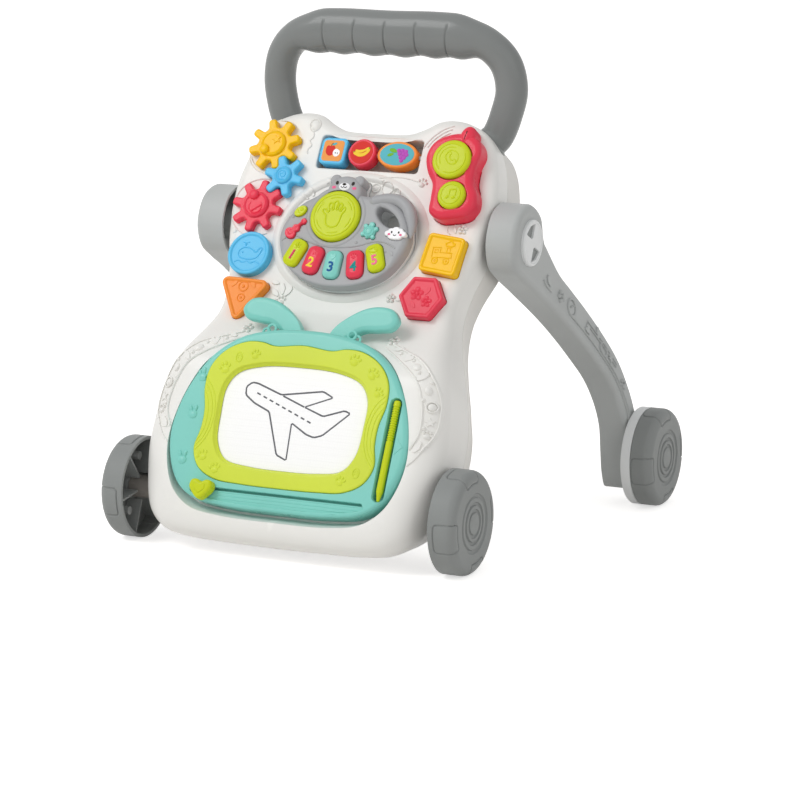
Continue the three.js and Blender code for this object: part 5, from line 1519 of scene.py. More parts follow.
def build_picture_blocks():
    """Three turning blocks with a fruit picture inlaid on both faces."""
    blocks = {
        "apple_block": (rounded_box(25, 25, 5), "blue", rounded_box(19.5, 19.5, 3), "tan",
                        draw_apple, ("crimson", "cloud", "black", "aqua")),
        "banana_block": (ellipse_loop(13, count=72), "red", ellipse_loop(10.6, count=64), "crimson",
                         draw_banana, ("sun", "leaf")),
        "grape_block": (ellipse_loop(19.1, 12.5, 88), "orange", ellipse_loop(16.2, 10.2, 72), "aqua",
                        draw_grapes, ("purple", "leaf")),
    }
    plain("block_rod", "steel")
    for name, (loop, tone_key, inlay, panel_key, draw, inks) in blocks.items():
        centre = spin_centre(f"{name}_turn")
        seat = PLAY @ Matrix.Translation(centre)
        rise = edge_profile(0, 6, 1.5, 4)[1:]
        profile = [(inset, -height) for inset, height in rise[::-1]] + rise
        bm = lofted(bmesh.new(), loop, profile)
        moulding(name, bm, tone_key, name, seat)
        for word, flip in (("front", 0), ("back", 180)):
            side = seat @ turn_about("X", flip) @ at(0, 0, 5.9)
            bm = lofted(bmesh.new(), inlay, [(0, 0), (0, 0.3), (0.25, 0.45)])
            finished(f"{name}_{word}_panel", bm, panel_key, name, side)
            layers = {ink: bmesh.new() for ink in inks}
            draw(layers)
            for ink, drawing in layers.items():
                finished(f"{name}_{word}_{ink}", drawing, ink, name, side @ at(0, 0, 0.42))


def draw_apple(layers):
    """A whole apple with its stalk and leaf, and a cut half with two pips."""
    plate(layers["crimson"], [
        (-7, 1), (-5.5, 4.5), (-2.5, 4), (0, 4.6), (2, 1.5), (1, -3), (-2, -5), (-5.5, -3.5)], 0.4, 0.1)
    plate(layers["cloud"], [
        (0.5, -1), (2.5, 1.6), (5, 1.2), (7, -1), (6.2, -4.2), (3.5, -5.6), (1.2, -4.2)], 0.7, 0.1)
    for x, v in ((3, -2.2), (5, -2.4)):
        dome(layers["black"], x, v, 0.45, 0.8, 0.25, lift=0.35)
    line(layers["black"], [(-2.5, 4), (-2, 6), (-1, 7)], 0.3)
    leaf(layers["aqua"], 0.5, 6.2, 4.6, turn=-65, high=0.5)


def draw_banana(layers):
    """Two bananas with dark tips."""
    plate(layers["sun"], [
        (-7.5, -0.5), (-4, -3.5), (1, -4), (5.5, -1.5), (7.5, 3.5), (6.2, 3.8), (3.5, 0.5), (-1, -1),
        (-5, 0.2)], 0.4, 0.1)
    plate(layers["sun"], [(-6, 1.5), (-2, -0.6), (3, 1), (6.4, 4.6), (2, 2.8), (-2, 2)], 0.6, 0.1)
    dome(layers["leaf"], 6.9, 4.2, 0.8, 0.8, 0.4, lift=0.1)
    dome(layers["leaf"], -7, 0, 0.6, 0.6, 0.4, lift=0.1)


def draw_grapes(layers):
    """A bunch of grapes with its stalk and two leaves."""
    grapes = (
        (1, 3.6), (4.6, 3.8), (8, 3), (2.4, 0.6), (6, 0.6), (9.2, 0), (4, -2.6), (7.4, -2.8), (5.4, -5.6),
    )
    for x, v in grapes:
        dome(layers["purple"], x, v, 2, 2, 0.8)
    leaf(layers["leaf"], -4, 3.4, 8, turn=75, high=0.5)
    leaf(layers["leaf"], -6, -0.6, 6, turn=110, high=0.5)
    line(layers["leaf"], [(-1.5, 2.2), (1, 3), (2, 5)], 0.4)


# ------------ telephone


def round_button(radius, foot, top):
    """Profile of a round button with a softened, slightly crowned top."""
    edge = [(radius - inset, height) for inset, height in edge_profile(foot, top - 0.4, 2.4, 6)]
    crown = [(radius - 3.4, top - 0.25), (radius - 5.4, top - 0.05), (radius * 0.4, top)]
    return [(0.0, foot), *edge, *crown, (0.0, top)]


def build_telephone():
    """Toy telephone with its aerial and two buttons with raised figures."""
    spots = {"phone_call_button": (*CALL, 17.5), "phone_tune_button": (*TUNE, 12.5)}
    bm = bmesh.new()
    wells = [well(ellipse_loop(r + 0.6, count=96, x=x, y=v), 10, lip=0.9) for x, v, r in spots.values()]
    panel(bm, PHONE, -4.7, 17, lambda x, v: 6.4 - 2.2 * ramp(20 - abs(v + 22), 0, 20), wells, steps=8)
    lofted(bm, moved(ellipse_loop(7.3, 10.5, 64), 94.8, -5.4, -8), edge_profile(0.3, 17.5, 6.7, 9))
    moulding("phone_body", bm, "red", "phone", PLAY, smooth=40)
    for name, (x, v, radius) in spots.items():
        bm = turned(bmesh.new(), round_button(radius, 13.3, 21), 96, at(x, v))
        moulding(name, bm, "lime", name, PLAY, smooth=40)
    bm = bmesh.new()
    for radius, start, end in ((13.4, 60, 230), (10.2, 75, 215), (13.4, -110, 25), (7.2, -60, 120)):
        ring(bm, *CALL, radius, 0.55, lift=20.8, start=start, end=end)
    receiver = [
        (-5.2, 5.2), (-2.4, 7.2), (-0.2, 5.2), (-1.4, 2.6), (0.2, -0.8), (2.8, -2.6), (5.2, -1.6), (6.8, -4),
        (4.0, -6.6), (-0.6, -6.2), (-4.6, -2.2), (-6.2, 2.0),
    ]
    line(bm, [(x * 0.8, v * 0.8) for x, v in receiver], 0.6, at(*CALL, 20.9), closed=True)
    finished("call_button_figure", bm, "lime", "phone_call_button", PLAY)
    bm = bmesh.new()
    x, v = TUNE
    ring(bm, x, v, 8.8, 0.5, lift=20.8)
    for dx in (-2.8, 3.0):
        dome(bm, x + dx, v - 3, 1.9, 1.5, 1, turn=20, lift=20.9)
        line(bm, [(dx + 1.7, -3), (dx + 1.7, 4)], 0.5, at(x, v, 21))
    line(bm, [(-1.1, 4), (4.7, 4.6)], 0.8, at(x, v, 21))
    finished("tune_button_figure", bm, "lime", "phone_tune_button", PLAY)


# ------------ toy piano

KEYS = [
    (-39.2, -123.2, -21.4), (-20.5, -128.8, -10.7), (-1.2, -131.6, 0), (19.6, -129.8, 10.7),
    (37.2, -122.6, 21.4),
]
KEY_LOOP = rounded_box(15.6, 25.8, 6)


def lobed_loop(wide, tall, lobes):
    """Ellipse with soft lobes, each (direction in degrees, rise, half width in degrees)."""
    points = []
    for k in range(120):
        turn = 360 * k / 120
        rise = 0.0
        for towards, high, half in lobes:
            away = abs((turn - towards + 180) % 360 - 180)
            rise = max(rise, high * math.sqrt(max(0.0, 1 - (away / half) ** 2)))
        angle = math.radians(turn)
        points.append(Vector(((wide + rise) * math.cos(angle), (tall + rise) * math.sin(angle))))
    return points


SMALL_BUTTONS = {
    "guitar_button": ("red", moved(smooth_loop([
        (-10.2, -3.6), (-7.4, -5.6), (-4.2, -4.6), (-2.4, -2.9), (0.2, -3.6), (2.2, -2.4), (3.4, -1.3),
        (6.6, -1.3), (7.4, -2.3), (10.6, -2.2), (11.4, 0), (10.6, 2.2), (7.4, 2.3), (6.6, 1.3), (3.4, 1.3),
        (2.2, 2.4), (0.2, 3.6), (-2.4, 2.9), (-4.2, 4.6), (-7.4, 5.6), (-10.2, 3.6), (-11.4, 0),
    ], 132), *GUITAR, 48)),
    "turtle_button": ("teal", moved(lobed_loop(5.9, 5.6, (
        (90, 3.2, 24), (38, 2.7, 19), (142, 2.7, 19), (218, 2.4, 19), (322, 2.4, 19), (270, 1.0, 12),
    )), *TURTLE, -12)),
    "maraca_button": ("lime", moved(ellipse_loop(6.2, 4.2, 72), *MARACA, 40)),
    "cloud_button": ("cloud", moved(lobed_loop(7.2, 4.4, (
        (0, 2.9, 30), (48, 1.7, 26), (90, 1.9, 26), (135, 1.6, 26), (180, 2.9, 30), (235, 1.3, 26),
        (270, 1.0, 24), (305, 1.3, 26),
    )), *CLOUD)),
}
LOOP_HOLE = moved(ellipse_loop(14, 7.5, 80), 40, -84, -33)


def notched(loop, centre, radius):
    """An outline with a round notch where it crosses a circle."""
    centre = Vector(centre)
    out = [(p - centre).length > radius for p in loop]
    start = next(i for i in range(len(loop)) if out[i] and not out[i - 1])
    kept = [p for p in loop[start:] + loop[:start] if (p - centre).length > radius]
    first, last = kept[0] - centre, kept[-1] - centre
    begin, end = math.atan2(last.y, last.x), math.atan2(first.y, first.x)
    sweep = (end - begin) % math.tau
    if not is_inside(centre + direction(begin + sweep / 2) * radius, loop):
        sweep -= math.tau
    steps = max(6, int(abs(sweep) * radius / 1.6))
    for k in range(1, steps):
        angle = begin + sweep * k / steps
        kept.append(centre + direction(angle) * radius)
    return kept


def cover_round(x, v):
    """Edge radius of the piano cover: full round, small by the drum and under the keys."""
    near_drum = 1 - ramp((Vector((x, v)) - DRUM).length, 25.5, 33)
    low = ramp(-v, 118, 132)
    return 5.4 - 3.2 * low - (4.6 - 3.2 * low) * near_drum * (1 - low)


def build_piano():
    """Toy piano: two-part housing, loop handle, bear, drum, keys and small buttons."""
    edge = notched(PIANO, DRUM, DRUM_ROOM)
    wells = [well(moved(inset_loop(KEY_LOOP, -0.4), x, v, turn), lip=0.7) for x, v, turn in KEYS]
    wells.append(well(LOOP_HOLE, lip=2.2))
    bm = bmesh.new()
    panel(bm, edge, COVER_FOOT, 16, cover_round, wells, steps=8)
    rooms = bmesh.new()
    for _, loop in SMALL_BUTTONS.values():
        lofted(rooms, inset_loop(loop, -0.4), [(0, 2), (0, 30)])
    bm = carved(bm, rooms)
    brow = [*edge_profile(COVER_FOOT, 18.6, 3.6, 8), (6.0, 18.95), (8.5, 19.05)]
    drum_room = ellipse_loop(DRUM_ROOM, count=160, x=DRUM.x, y=DRUM.y)
    head = carved(lofted(bmesh.new(), BEAR_LOOPS[0], brow), lofted(bmesh.new(), drum_room, [(0, 0), (0, 25)]))
    take_in(bm, baked(head))
    for loop in BEAR_LOOPS[1:]:
        lofted(bm, loop, edge_profile(COVER_FOOT, 17.2, 2.4, 6))
    collar = [(COLLAR_RADIUS, COVER_FOOT), (COLLAR_RADIUS, 14.2), (28.4, 15.8), (27, 16.6), (24.8, 16.6)]
    inner = [(DRUM_ROOM, 15.8), (DRUM_ROOM, COVER_FOOT)]
    turned(bm, [inner[1], *collar, *inner], 128, at(*DRUM))
    moulding("piano_cover", bm, "piano", "piano", PLAY, smooth=42)
    build_piano_base()
    build_loop_handle()
    relief("piano_seam", draw_seam, "piano_cover_moulding", "piano", "piano", PLAY)
    build_bear()
    build_drum()
    build_keys()
    build_small_buttons()
    plain("battery_door", "light_grey")
    for row in (1, 2, 3):
        plain(f"battery_{row}", "cell")
    dressed("power_switch", "red", "power_switch", 0.3)


def build_piano_base():
    """Lower half of the piano's housing with the bay for its cells and the switch."""
    base = bmesh.new()
    outline = union_loop([PIANO, COLLAR, *BEAR_LOOPS], PIANO_MIDDLE, 260)
    lofted(base, outline, [(0.5, -10), (0, -9.5), (0, 3.4), (0.4, 3.85)])
    openings = (
        (rounded_box(45, 33, 0.4, 4, -112, steps=2), 2.5),
        (rounded_box(49.6, 37.6, 0.6, 4, -112, steps=2), -8.5),
        (rounded_box(6.6, 12.6, 0.6, -34, -102, steps=2), -7),
        (LOOP_HOLE, 20),
    )
    for loop, top in openings:
        base = carved(base, lofted(bmesh.new(), loop, [(0, -15), (0, top)]))
    moulding("piano_base", base, "light_grey", "piano", PLAY)


def build_loop_handle():
    """Rounded arm round the piano's finger hole."""
    points = spline_points([
        (16, -72, 0), (24, -69.5, 0), (34, -67, 0), (45, -67.5, 0), (54, -73, 0), (59.5, -81.5, 0),
        (62.5, -91, 0), (63.5, -101, 0)], 10)
    last = len(points) - 1

    def place(k, angle):
        along = (points[min(k + 1, last)] - points[max(k - 1, 0)]).normalized()
        sideways = Vector((-along.y, along.x, 0))
        thick = 5.4 * math.sqrt(max(0.02, min(1, k / 8, (last - k) / 21)))
        return points[k] + sideways * thick * math.cos(angle) + Vector((0, 0, 12.4 + thick * math.sin(angle)))

    finished("piano_loop_arm", rolled_tube(last, 28, place), "piano", "piano", PLAY)


def draw_seam(seam):
    """Wavy seam on the piano's cover under the toys, with a few drops and a leaf."""
    waves = [(-56, -112.5), (-50, -108.5), (-42, -107.5), (-32, -111), (-20, -114), (-6, -115.2), (8, -114.2),
             (19, -112), (28, -108.8), (36, -107), (44, -108), (53, -112)]
    line(seam, waves, 0.7)
    for x, v, r in ((-50, -90, 1.5), (15.5, -109.5, 1.4), (45, -116, 0.9)):
        dome(seam, x, v, r, r, 0.7)
    leaf(seam, 51, -117, 5, turn=40)


def build_bear():
    """The bear over the drum: inner ears, muzzle, eyes with the nose and mouth, and cheeks."""
    top = 19.0
    x, v = BEAR
    layers = {"inner_ears": "piano", "muzzle": "cloud", "eyes_and_nose": "black", "cheeks": "pink"}
    ears, muzzle, eyes, cheeks = meshes = [bmesh.new() for _ in layers]
    dome(muzzle, x, v + 4.6, 5.4, 3.7, 1.5, lift=top - 0.3)
    dome(eyes, x, v + 6.2, 1.9, 1.3, 0.9, lift=top + 0.8)
    for side in (-1, 1):
        dome(ears, x + side * 11.4, v + 11.8, 2.6, 2.6, 0.8, lift=17.0)
        dome(eyes, x + side * 7.6, v + 7.6, 1.5, 1.9, 0.6, turn=side * -12, lift=top - 0.1)
        ring(eyes, x + side * 1.4, v + 4.6, 1.4, 0.28, lift=top + 1.15, start=190, end=350)
        dome(cheeks, x + side * 9.6, v + 3.4, 2.1, 1.5, 0.4, lift=top - 0.15)
    for bm, (word, finish_key) in zip(meshes, layers.items()):
        finished(f"bear_{word}", bm, finish_key, "piano", PLAY)


def build_drum():
    """Big round button with raised rings and an open hand."""
    x, v = DRUM
    bm = turned(bmesh.new(), round_button(23.2, BUTTON_FOOT, 20), 128, at(x, v))
    moulding("drum_button", bm, "lime", "drum_button", PLAY, smooth=40)
    bm = bmesh.new()
    ring(bm, x, v, 19, 0.6, lift=19.8)
    for start in range(20, 380, 60):
        ring(bm, x, v, 16.4, 0.5, lift=19.9, start=start, end=start + 34)
    hand = [
        (-4.5, -10), (-7, -5), (-7.6, -1), (-11.4, 3), (-10.6, 5), (-8, 4.4), (-6.2, 2.4), (-6.6, 9.6),
        (-4.9, 11), (-3.3, 9.8), (-2.7, 4.6), (-1.9, 11.6), (-0.1, 12.8), (1.5, 11.4), (1.3, 4.8),
        (3.3, 10.6), (5, 11), (6.1, 9.3), (4.7, 3.8), (7.5, 7.4), (9, 7.2), (9.4, 5.4), (6.8, 0.4),
        (6.2, -5), (4, -10),
    ]
    line(bm, hand, 0.75, at(x, v, 20), closed=True)
    finished("drum_figure", bm, "lime", "drum_button", PLAY)


def build_keys():
    """Five crowned keys, numbered, each with a small raised mark."""
    tones = (("lime", "rose"), ("red", "sun"), ("teal", "navy"), ("red", "sea"), ("lime", "pink"))
    marks = (flower, star, heart, paw, key_cloud)
    profile = [*edge_profile(12.8, 19.4, 2.6, 6), (3.6, 19.75), (4.8, 19.95), (5.6, 20.0)]
    for i, ((tone_key, ink), (x, v, turn)) in enumerate(zip(tones, KEYS)):
        name = f"key_{i + 1}"
        bm = lofted(bmesh.new(), KEY_LOOP, profile)
        moulding(name, bm, tone_key, name, PLAY @ at(x, v, 0, turn), smooth=50)
        bm = bmesh.new()
        take_in(bm, numeral_mesh(str(i + 1), 12.5, 0.7), at(x, v, 20.1, turn) @ at(0, -3.2))
        finished(f"{name}_number", bm, ink, name, PLAY)
        bm = bmesh.new()
        spot = at(x, v, 0, turn) @ Vector((0, 6.6, 0))
        marks[i](bm, spot.x, spot.y, 6, lift=19.9)
        finished(f"{name}_mark", bm, tone_key, name, PLAY)


def key_cloud(bm, x, y, size, lift):
    """Outlined cloud on a key."""
    cloud(bm, x, y, size * 1.2, lift=lift)


def build_small_buttons():
    """Guitar, turtle, maraca and cloud buttons with their figures."""
    for name, (tone_key, loop) in SMALL_BUTTONS.items():
        bm = lofted(bmesh.new(), loop, edge_profile(BUTTON_FOOT, BUTTON_TOP, 1.1, 4))
        moulding(name, bm, tone_key, name, PLAY, smooth=45)
    seat = at(*GUITAR, BUTTON_TOP, 48)
    bm = bmesh.new()
    turned(bm, [(1.4, 0), (2.2, 0), (2.2, 0.5), (1.4, 0.5), (1.4, 0)], 32, seat @ at(-5, 0))
    line(bm, [(-7.8, -2.2), (-7.8, 2.2)], 0.45, seat)
    for offset in (-0.5, 0.5):
        line(bm, [(-2, offset), (9, offset)], 0.25, seat)
    finished("guitar_strings", bm, "red", "guitar_button", PLAY)
    x, v = TURTLE
    bm = bmesh.new()
    dome(bm, x, v, 4.6, 4.6, 1.3, lift=18.2)
    ring(bm, x, v, 4.6, 0.45, lift=18.6)
    ring(bm, x, v, 2.4, 0.45, lift=19.2)
    for k in range(6):
        angle = math.radians(60 * k + 30)
        line(bm, [(x + 2.4 * math.cos(angle), v + 2.4 * math.sin(angle), 19.2),
                  (x + 4.4 * math.cos(angle), v + 4.4 * math.sin(angle), 18.7)], 0.4)
    finished("turtle_shell", bm, "teal", "turtle_button", PLAY)
    bm = bmesh.new()
    seat = at(*MARACA, BUTTON_TOP, 40)
    line(bm, [(-1.6, -2.2), (-1.6, 2.2)], 0.45, seat)
    dome(bm, 1.9, 0, 1.9, 1.7, 0.8, place=seat)
    finished("maraca_figure", bm, "lime", "maraca_button", PLAY)
    x, v = CLOUD
    bm = bmesh.new()
    for side in (-1, 1):
        dome(bm, x + side * 3.3, v + 1, 0.8, 1.1, 0.5, lift=BUTTON_TOP)
    ring(bm, x, v - 0.6, 1.4, 0.35, lift=BUTTON_TOP, start=200, end=340)
    finished("cloud_eyes", bm, "black", "cloud_button", PLAY)
    bm = bmesh.new()
    for side in (-1, 1):
        dome(bm, x + side * 5.4, v - 1.0, 1.4, 1.0, 0.4, lift=BUTTON_TOP)
    finished("cloud_cheeks", bm, "pink", "cloud_button", PLAY)


# ------------ shape blocks


def build_shape_blocks():
    """Four lift-out shapes, each with a raised figure inside its rim."""
    figures = {
        "round_block": ("blue", draw_whale, ROUND),
        "triangle_block": ("orange", draw_berries, (-86.5, -158.5)),
        "square_block": ("yellow", draw_train, SQUARE),
        "hexagon_block": ("red", draw_flowers, HEXAGON),
    }
    face = 6.8
    rim = [(2.4, 8), (3.1, 7.7), (3.6, 7.0), (4.2, face)]
    profile = [(0.5, -5), (0, -4.4), *edge_profile(-4.3, 8, 1.5, 5)[1:], *rim]
    for name, (tone_key, draw, spot) in figures.items():
        bm = lofted(bmesh.new(), SHAPES[name], profile)
        moulding(name, bm, tone_key, name, PLAY, smooth=50)
        bm = bmesh.new()
        draw(bm)
        finished(f"{name}_figure", bm, tone_key, name, PLAY @ at(*spot, face))


def draw_whale(bm):
    """A whale over two waves."""
    body = [(-10, -1), (-8, 3.5), (-3, 5), (3, 3.5), (7, 1.5), (9, 4.5), (11.5, 5.5), (11, 1), (9, -3),
            (3, -5.5), (-5, -5), (-9, -3.4)]
    line(bm, body, 0.6, closed=True)
    line(bm, [(-5, 6), (-5.5, 9), (-8, 10)], 0.5)
    line(bm, [(-4.5, 6), (-3.5, 9.5), (-1.4, 10)], 0.5)
    line(bm, [(-12, -9), (-8, -7.4), (-4, -9), (0, -7.4), (4, -9), (8, -7.4), (12, -9)], 0.5)
    dome(bm, -6, 0.4, 0.8, 0.8, 0.7)


def draw_berries(bm):
    """Two berries, one above the other, with two leaves."""
    ring(bm, 0, 4.5, 4.4, 0.6)
    ring(bm, 0, -6, 3.4, 0.6)
    for x in (-9, 9):
        leaf(bm, x, 7, 8, turn=-35 if x < 0 else 35)
    dome(bm, 0, 4.5, 1.5, 1.5, 0.9)
    dome(bm, 0, -6, 1.2, 1.2, 0.9)


def draw_train(bm):
    """A small engine with two wheels and a cloud of steam."""
    line(bm, [(-9, -3), (-9, 6), (-2, 6), (-2, 1.5), (9, 1.5), (9, -3)], 0.6, closed=True, smooth=False)
    line(bm, [(4, 1.5), (4, 6), (7, 6), (7, 1.5)], 0.55, smooth=False)
    line(bm, [(-7, 1), (-7, 4.2), (-4, 4.2), (-4, 1)], 0.45, closed=True, smooth=False)
    for x in (-5.5, 5):
        ring(bm, x, -6, 2.6, 0.6)
        dome(bm, x, -6, 1, 1, 0.8)
    cloud(bm, 6, 9.8, 8)


def draw_flowers(bm):
    """Two flowers and two leaves."""
    flower(bm, -4.5, 3, 12)
    flower(bm, 5.5, -3.5, 10)
    leaf(bm, 5, 6, 7, turn=-30)
    leaf(bm, -6, -7, 7, turn=40)


# ------------ drawing board


def board_round(x, y):
    """Edge radius of the board: full at the top and sides, less under the track."""
    return 5 - 2.4 * ramp(-y, 92, 106)


def build_board():
    """Drawing board: teal base with ears, lime frame, film with a drawn aeroplane, pen and wiper knob."""
    slot = evened(rounded_box(10, 88, 4.6, PEN.x, PEN.y + 0.5, PEN_TURN), 150)
    track = evened(rounded_loop([(-82, -99.5), (80, -99.5), (87, -112.8), (-79, -112.8)], 3), 200)
    slit = rounded_box(141, 2.2, 1, 10, -100.8)
    bm = bmesh.new()
    panel(bm, BOARD_EDGE, BASE_DEEP, 0, board_round, [
        well(inset_loop(FRAME_EDGE, -0.3), -7.3, lip=0.4),
        well(track, -1.6, lip=0.5),
    ], steps=8)
    cutters = lofted(bmesh.new(), slit, [(0, -6), (0, 10)])
    lofted(cutters, slot, [(0, -8), (0, -1.4), (-0.9, 0.1), (-0.9, 10)])
    bm = carved(bm, cutters)
    for side in (-1, 1):
        ear = smooth_loop([(side * x + EAR_SHIFT, v) for x, v in EAR_KNOTS], 120)
        crown = [*edge_profile(BASE_DEEP + 0.1, -10.8, 3.4, 7)[1:], (4.4, -10.6), (5.4, -10.5)]
        profile = [(1.2, BASE_DEEP - 1), (0, BASE_DEEP), *crown]
        lofted(bm, ear, [(lambda p, d=d: d * ramp(abs(p.x), 16, 42), z) for d, z in profile])
    moulding("board_base", bm, "teal", "board", BOARD, smooth=42)
    bm = bmesh.new()
    panel(bm, FRAME_EDGE, -2.7, 1.5, 1.3, [well(SCREEN_EDGE, None, lip=1.0, flare=2.2)], steps=5)
    moulding("board_frame", bm, "frame", "board", BOARD, smooth=45)
    sheet = [(0, -7), (0, -3.7), (3.2, -3.7), (3.3, -3.1), (3.5, SCREEN_LEVEL)]
    bm = lofted(bmesh.new(), inset_loop(SCREEN_EDGE, -3), sheet)
    moulding("board_screen", bm, "screen", "board", BOARD)
    build_pen()
    build_wiper()
    relief("frame_marks", draw_frame_marks, "board_frame_moulding", "frame", "board", BOARD)
    relief("board_marks", draw_base_marks, "board_base_moulding", "teal", "board", BOARD)
    links = bmesh.new()
    for side in (-1, 1):
        ring(links, side * 38 + EAR_SHIFT, 42.5, 3.6, 1.2, lift=-4.0)
        ring(links, side * 43 + EAR_SHIFT, 39.5, 3.0, 1.1, lift=-4.6)
    finished("ear_links", links, "teal", "board", BOARD)
    finished("drawn_aeroplane", drawn_aeroplane(), "ink", "board", BOARD)


def build_pen():
    """Pen with a tapered tip and fine grip rings; a black dot at its end is painted shade standing for a hole."""
    profile = [(0, -43), (1.0, -43), (1.3, -42.6), (2.6, -36.5), (2.8, -36), (3.1, -34.5)]
    for k in range(15):
        along = 8 + 2.05 * k
        profile += [(3.1, along), (2.5, along + 0.5), (2.5, along + 0.95), (3.1, along + 1.45)]
    profile += [(3.1, 40.6), (2.9, 42.2), (2.1, 43), (0, 43)]
    seat = at(*PEN, -2.6, PEN_TURN) @ turn_about("X", -90)
    bm = bmesh.new()
    turned(bm, profile, 48, seat)
    moulding("pen", bm, "lime", "pen", BOARD, smooth=45)
    # painted shade: a flat black dot stands in for the dark of a hole at the pen's end
    bm = bmesh.new()
    spot = at(*PEN, 0, PEN_TURN) @ Vector((0, 39.4, 0))
    dome(bm, spot.x, spot.y, 0.9, 0.9, 0.2, lift=0.25)
    finished("pen_hole", bm, "black", "pen", BOARD)


def build_wiper():
    """Heart-shaped knob of the wiper with its foot in the track."""
    heart_knots = [(0, -8.5), (7, -3.5), (10.5, 2), (9, 7.5), (4.5, 8.5), (0, 6.5), (-4.5, 8.5), (-9, 7.5),
                   (-10.5, 2), (-7, -3.5)]
    bm = bmesh.new()
    lofted(bm, moved(smooth_loop(heart_knots, 96), 0, 0.5), edge_profile(0.3, 9, 2.8, 7))
    bmesh.ops.create_cube(bm, size=1, matrix=Matrix.Diagonal((12, 6, 1.4, 1)))
    seat = BOARD @ at(*WIPER)
    finished("wiper_knob", bm, "lime", "eraser_slider", seat, smooth=45, replaces=["eraser_slider"])
    bm = bmesh.new()
    small = smooth_loop([(x * 0.5, y * 0.5) for x, y in heart_knots], 64)
    lofted(bm, moved(small, 0, 1), edge_profile(8.6, 9.6, 0.6, 3))
    finished("wiper_heart", bm, "lime", "eraser_slider", seat)


def draw_frame_marks(bm):
    """Paw prints, ovals and side arcs on the frame."""
    for x, v, size, turn in (
        (-70, 3.5, 11, 20), (-43.5, 17.5, 9, 0), (50, 20, 11, -10), (69, 9.5, 11, -25),
        (77, -5.5, 9, -35), (-75, -73.5, 10, 30), (-61, -83.5, 10, 10), (57.5, -83, 9, -10),
    ):
        paw(bm, x, v, size, turn=turn, high=1.0)
    for x, v in ((-58.5, 14), (70.5, -75)):
        ring(bm, x, v, 3, 0.5, stretch=1.35)
        line(bm, [(x - 2, v + 1), (x, v + 1.8), (x + 2, v + 1)], 0.4)
        line(bm, [(x - 2.2, v - 1), (x, v - 0.2), (x + 2.2, v - 1)], 0.4)
    for side in (-1, 1):
        for knots in (
            [(84.6, -7), (76.5, -17), (72.4, -29), (71.6, -42), (74.8, -57), (84, -70.5)],
            [(84.8, -11.5), (78.5, -20), (74.9, -30.5), (74.2, -42), (77, -55.5), (84.5, -66.5)],
            [(85.2, -16.5), (80, -26), (77.8, -39), (79, -52), (84.5, -63)],
        ):
            line(bm, on_side(side, knots), 0.5)


def draw_base_marks(bm):
    """Rabbit heads on the left edge, a finger ridge by the pen and lines along the wiper track."""
    for x, v, turn in ((-90, -6, 20), (-92.5, -39, 5), (-94, -79, 5)):
        seat = at(x, v, 0, turn)
        dome(bm, x, v, 4.2, 3.7, 1.5)
        for side in (-1, 1):
            ear = seat @ Vector((side * 2.4, 5.2, 0))
            dome(bm, ear.x, ear.y, 1.6, 3.1, 1.3, turn=turn - side * 18)
    plate(bm, [(101.5, -42), (107.5, -49), (100.5, -56)], 1.0, 0.4, smooth=False)
    for v in (-102.8, -105.6, -108.4, -111.2):
        line(bm, [(-55, v), (75 - (v + 102) * 0.8, v)], 0.34)


def drawn_aeroplane():
    """Flat drawn lines of an aeroplane with a dashed row of windows."""
    outline = [
        (-43.5, -5.8), (-38, -6.2), (-14, -14.2), (24.5, -8), (34.5, -12.6), (9.5, -22.8), (28.5, -29.2),
        (47.5, -22.6), (53, -24.6), (31, -45.5), (23.5, -48), (16, -46), (0.5, -37.4), (2, -69.8),
        (-8, -65.8), (-22.5, -29.6), (-38, -23.4), (-47.5, -17), (-48.3, -10),
    ]
    bm = bmesh.new()
    flat = at(0, 0, SCREEN_LEVEL + 0.05) @ Matrix.Diagonal((1, 1, 0.3, 1))
    rounded = []
    count = len(outline)
    for i, point in enumerate(outline):
        here, before, after = Vector(point), Vector(outline[i - 1]), Vector(outline[(i + 1) % count])
        for near in (before, after):
            step = near - here
            rounded.append(tuple(here + step * min(0.3, 1.2 / step.length)))
    line(bm, rounded, 0.75, flat, closed=True, smooth=False)
    line(bm, [(-12, -15.1), (9.5, -22.8)], 0.7, flat)
    start, end = Vector((-37, -14.5)), Vector((21, -37))
    for k in range(9):
        a, b = start.lerp(end, k / 9), start.lerp(end, (k + 0.55) / 9)
        line(bm, [tuple(a), tuple(b)], 0.7, flat)
    return bm


# ------------ ballast tank and inner parts


def build_tank():
    """Ballast tank in the back, with ribs and its screw cap."""
    dressed("water_tank", "tank", "water_tank", 1.6, 3)
    dressed("tank_cap", "blue", "tank_cap", 0.5)
    bm = bmesh.new()
    for x in (-46, -23, 0):
        line(bm, [(x, -236, -70), (x, -288, -70)], 1.6)
    line(bm, [(-60, -228, -70), (30, -228, -70)], 1.0)
    finished("tank_ribs", bm, "tank", "water_tank", PLAY)
    cap = bmesh.new()
    for k in range(28):
        angle = math.tau * k / 28
        seat = at(50 + 11.9 * math.cos(angle), -262 + 11.9 * math.sin(angle), -67.4, math.degrees(angle))
        bmesh.ops.create_cube(cap, size=1, matrix=seat @ Matrix.Diagonal((0.9, 1.2, 3.0, 1)))
    finished("tank_cap_grip", cap, "blue", "tank_cap", PLAY)


def build_axles():
    """Front axle with its tube."""
    plain("front_axle", "steel")
    dressed("front_axle_tube", "tube", "body", 0.4)


# ------------ stage


def background_rays(tree):
    """One for the rays that show the background: the camera's, reflected ones and those through glass."""
    path = add_node(tree, "LightPath")
    rays = path.outputs["Is Camera Ray"]
    for kind in ("Is Glossy Ray", "Is Transmission Ray"):
        either = add_node(tree, "Math", operation="MAXIMUM")
        tree.links.new(rays, either.inputs[0])
        tree.links.new(path.outputs[kind], either.inputs[1])
        rays = either.outputs["Value"]
    return rays


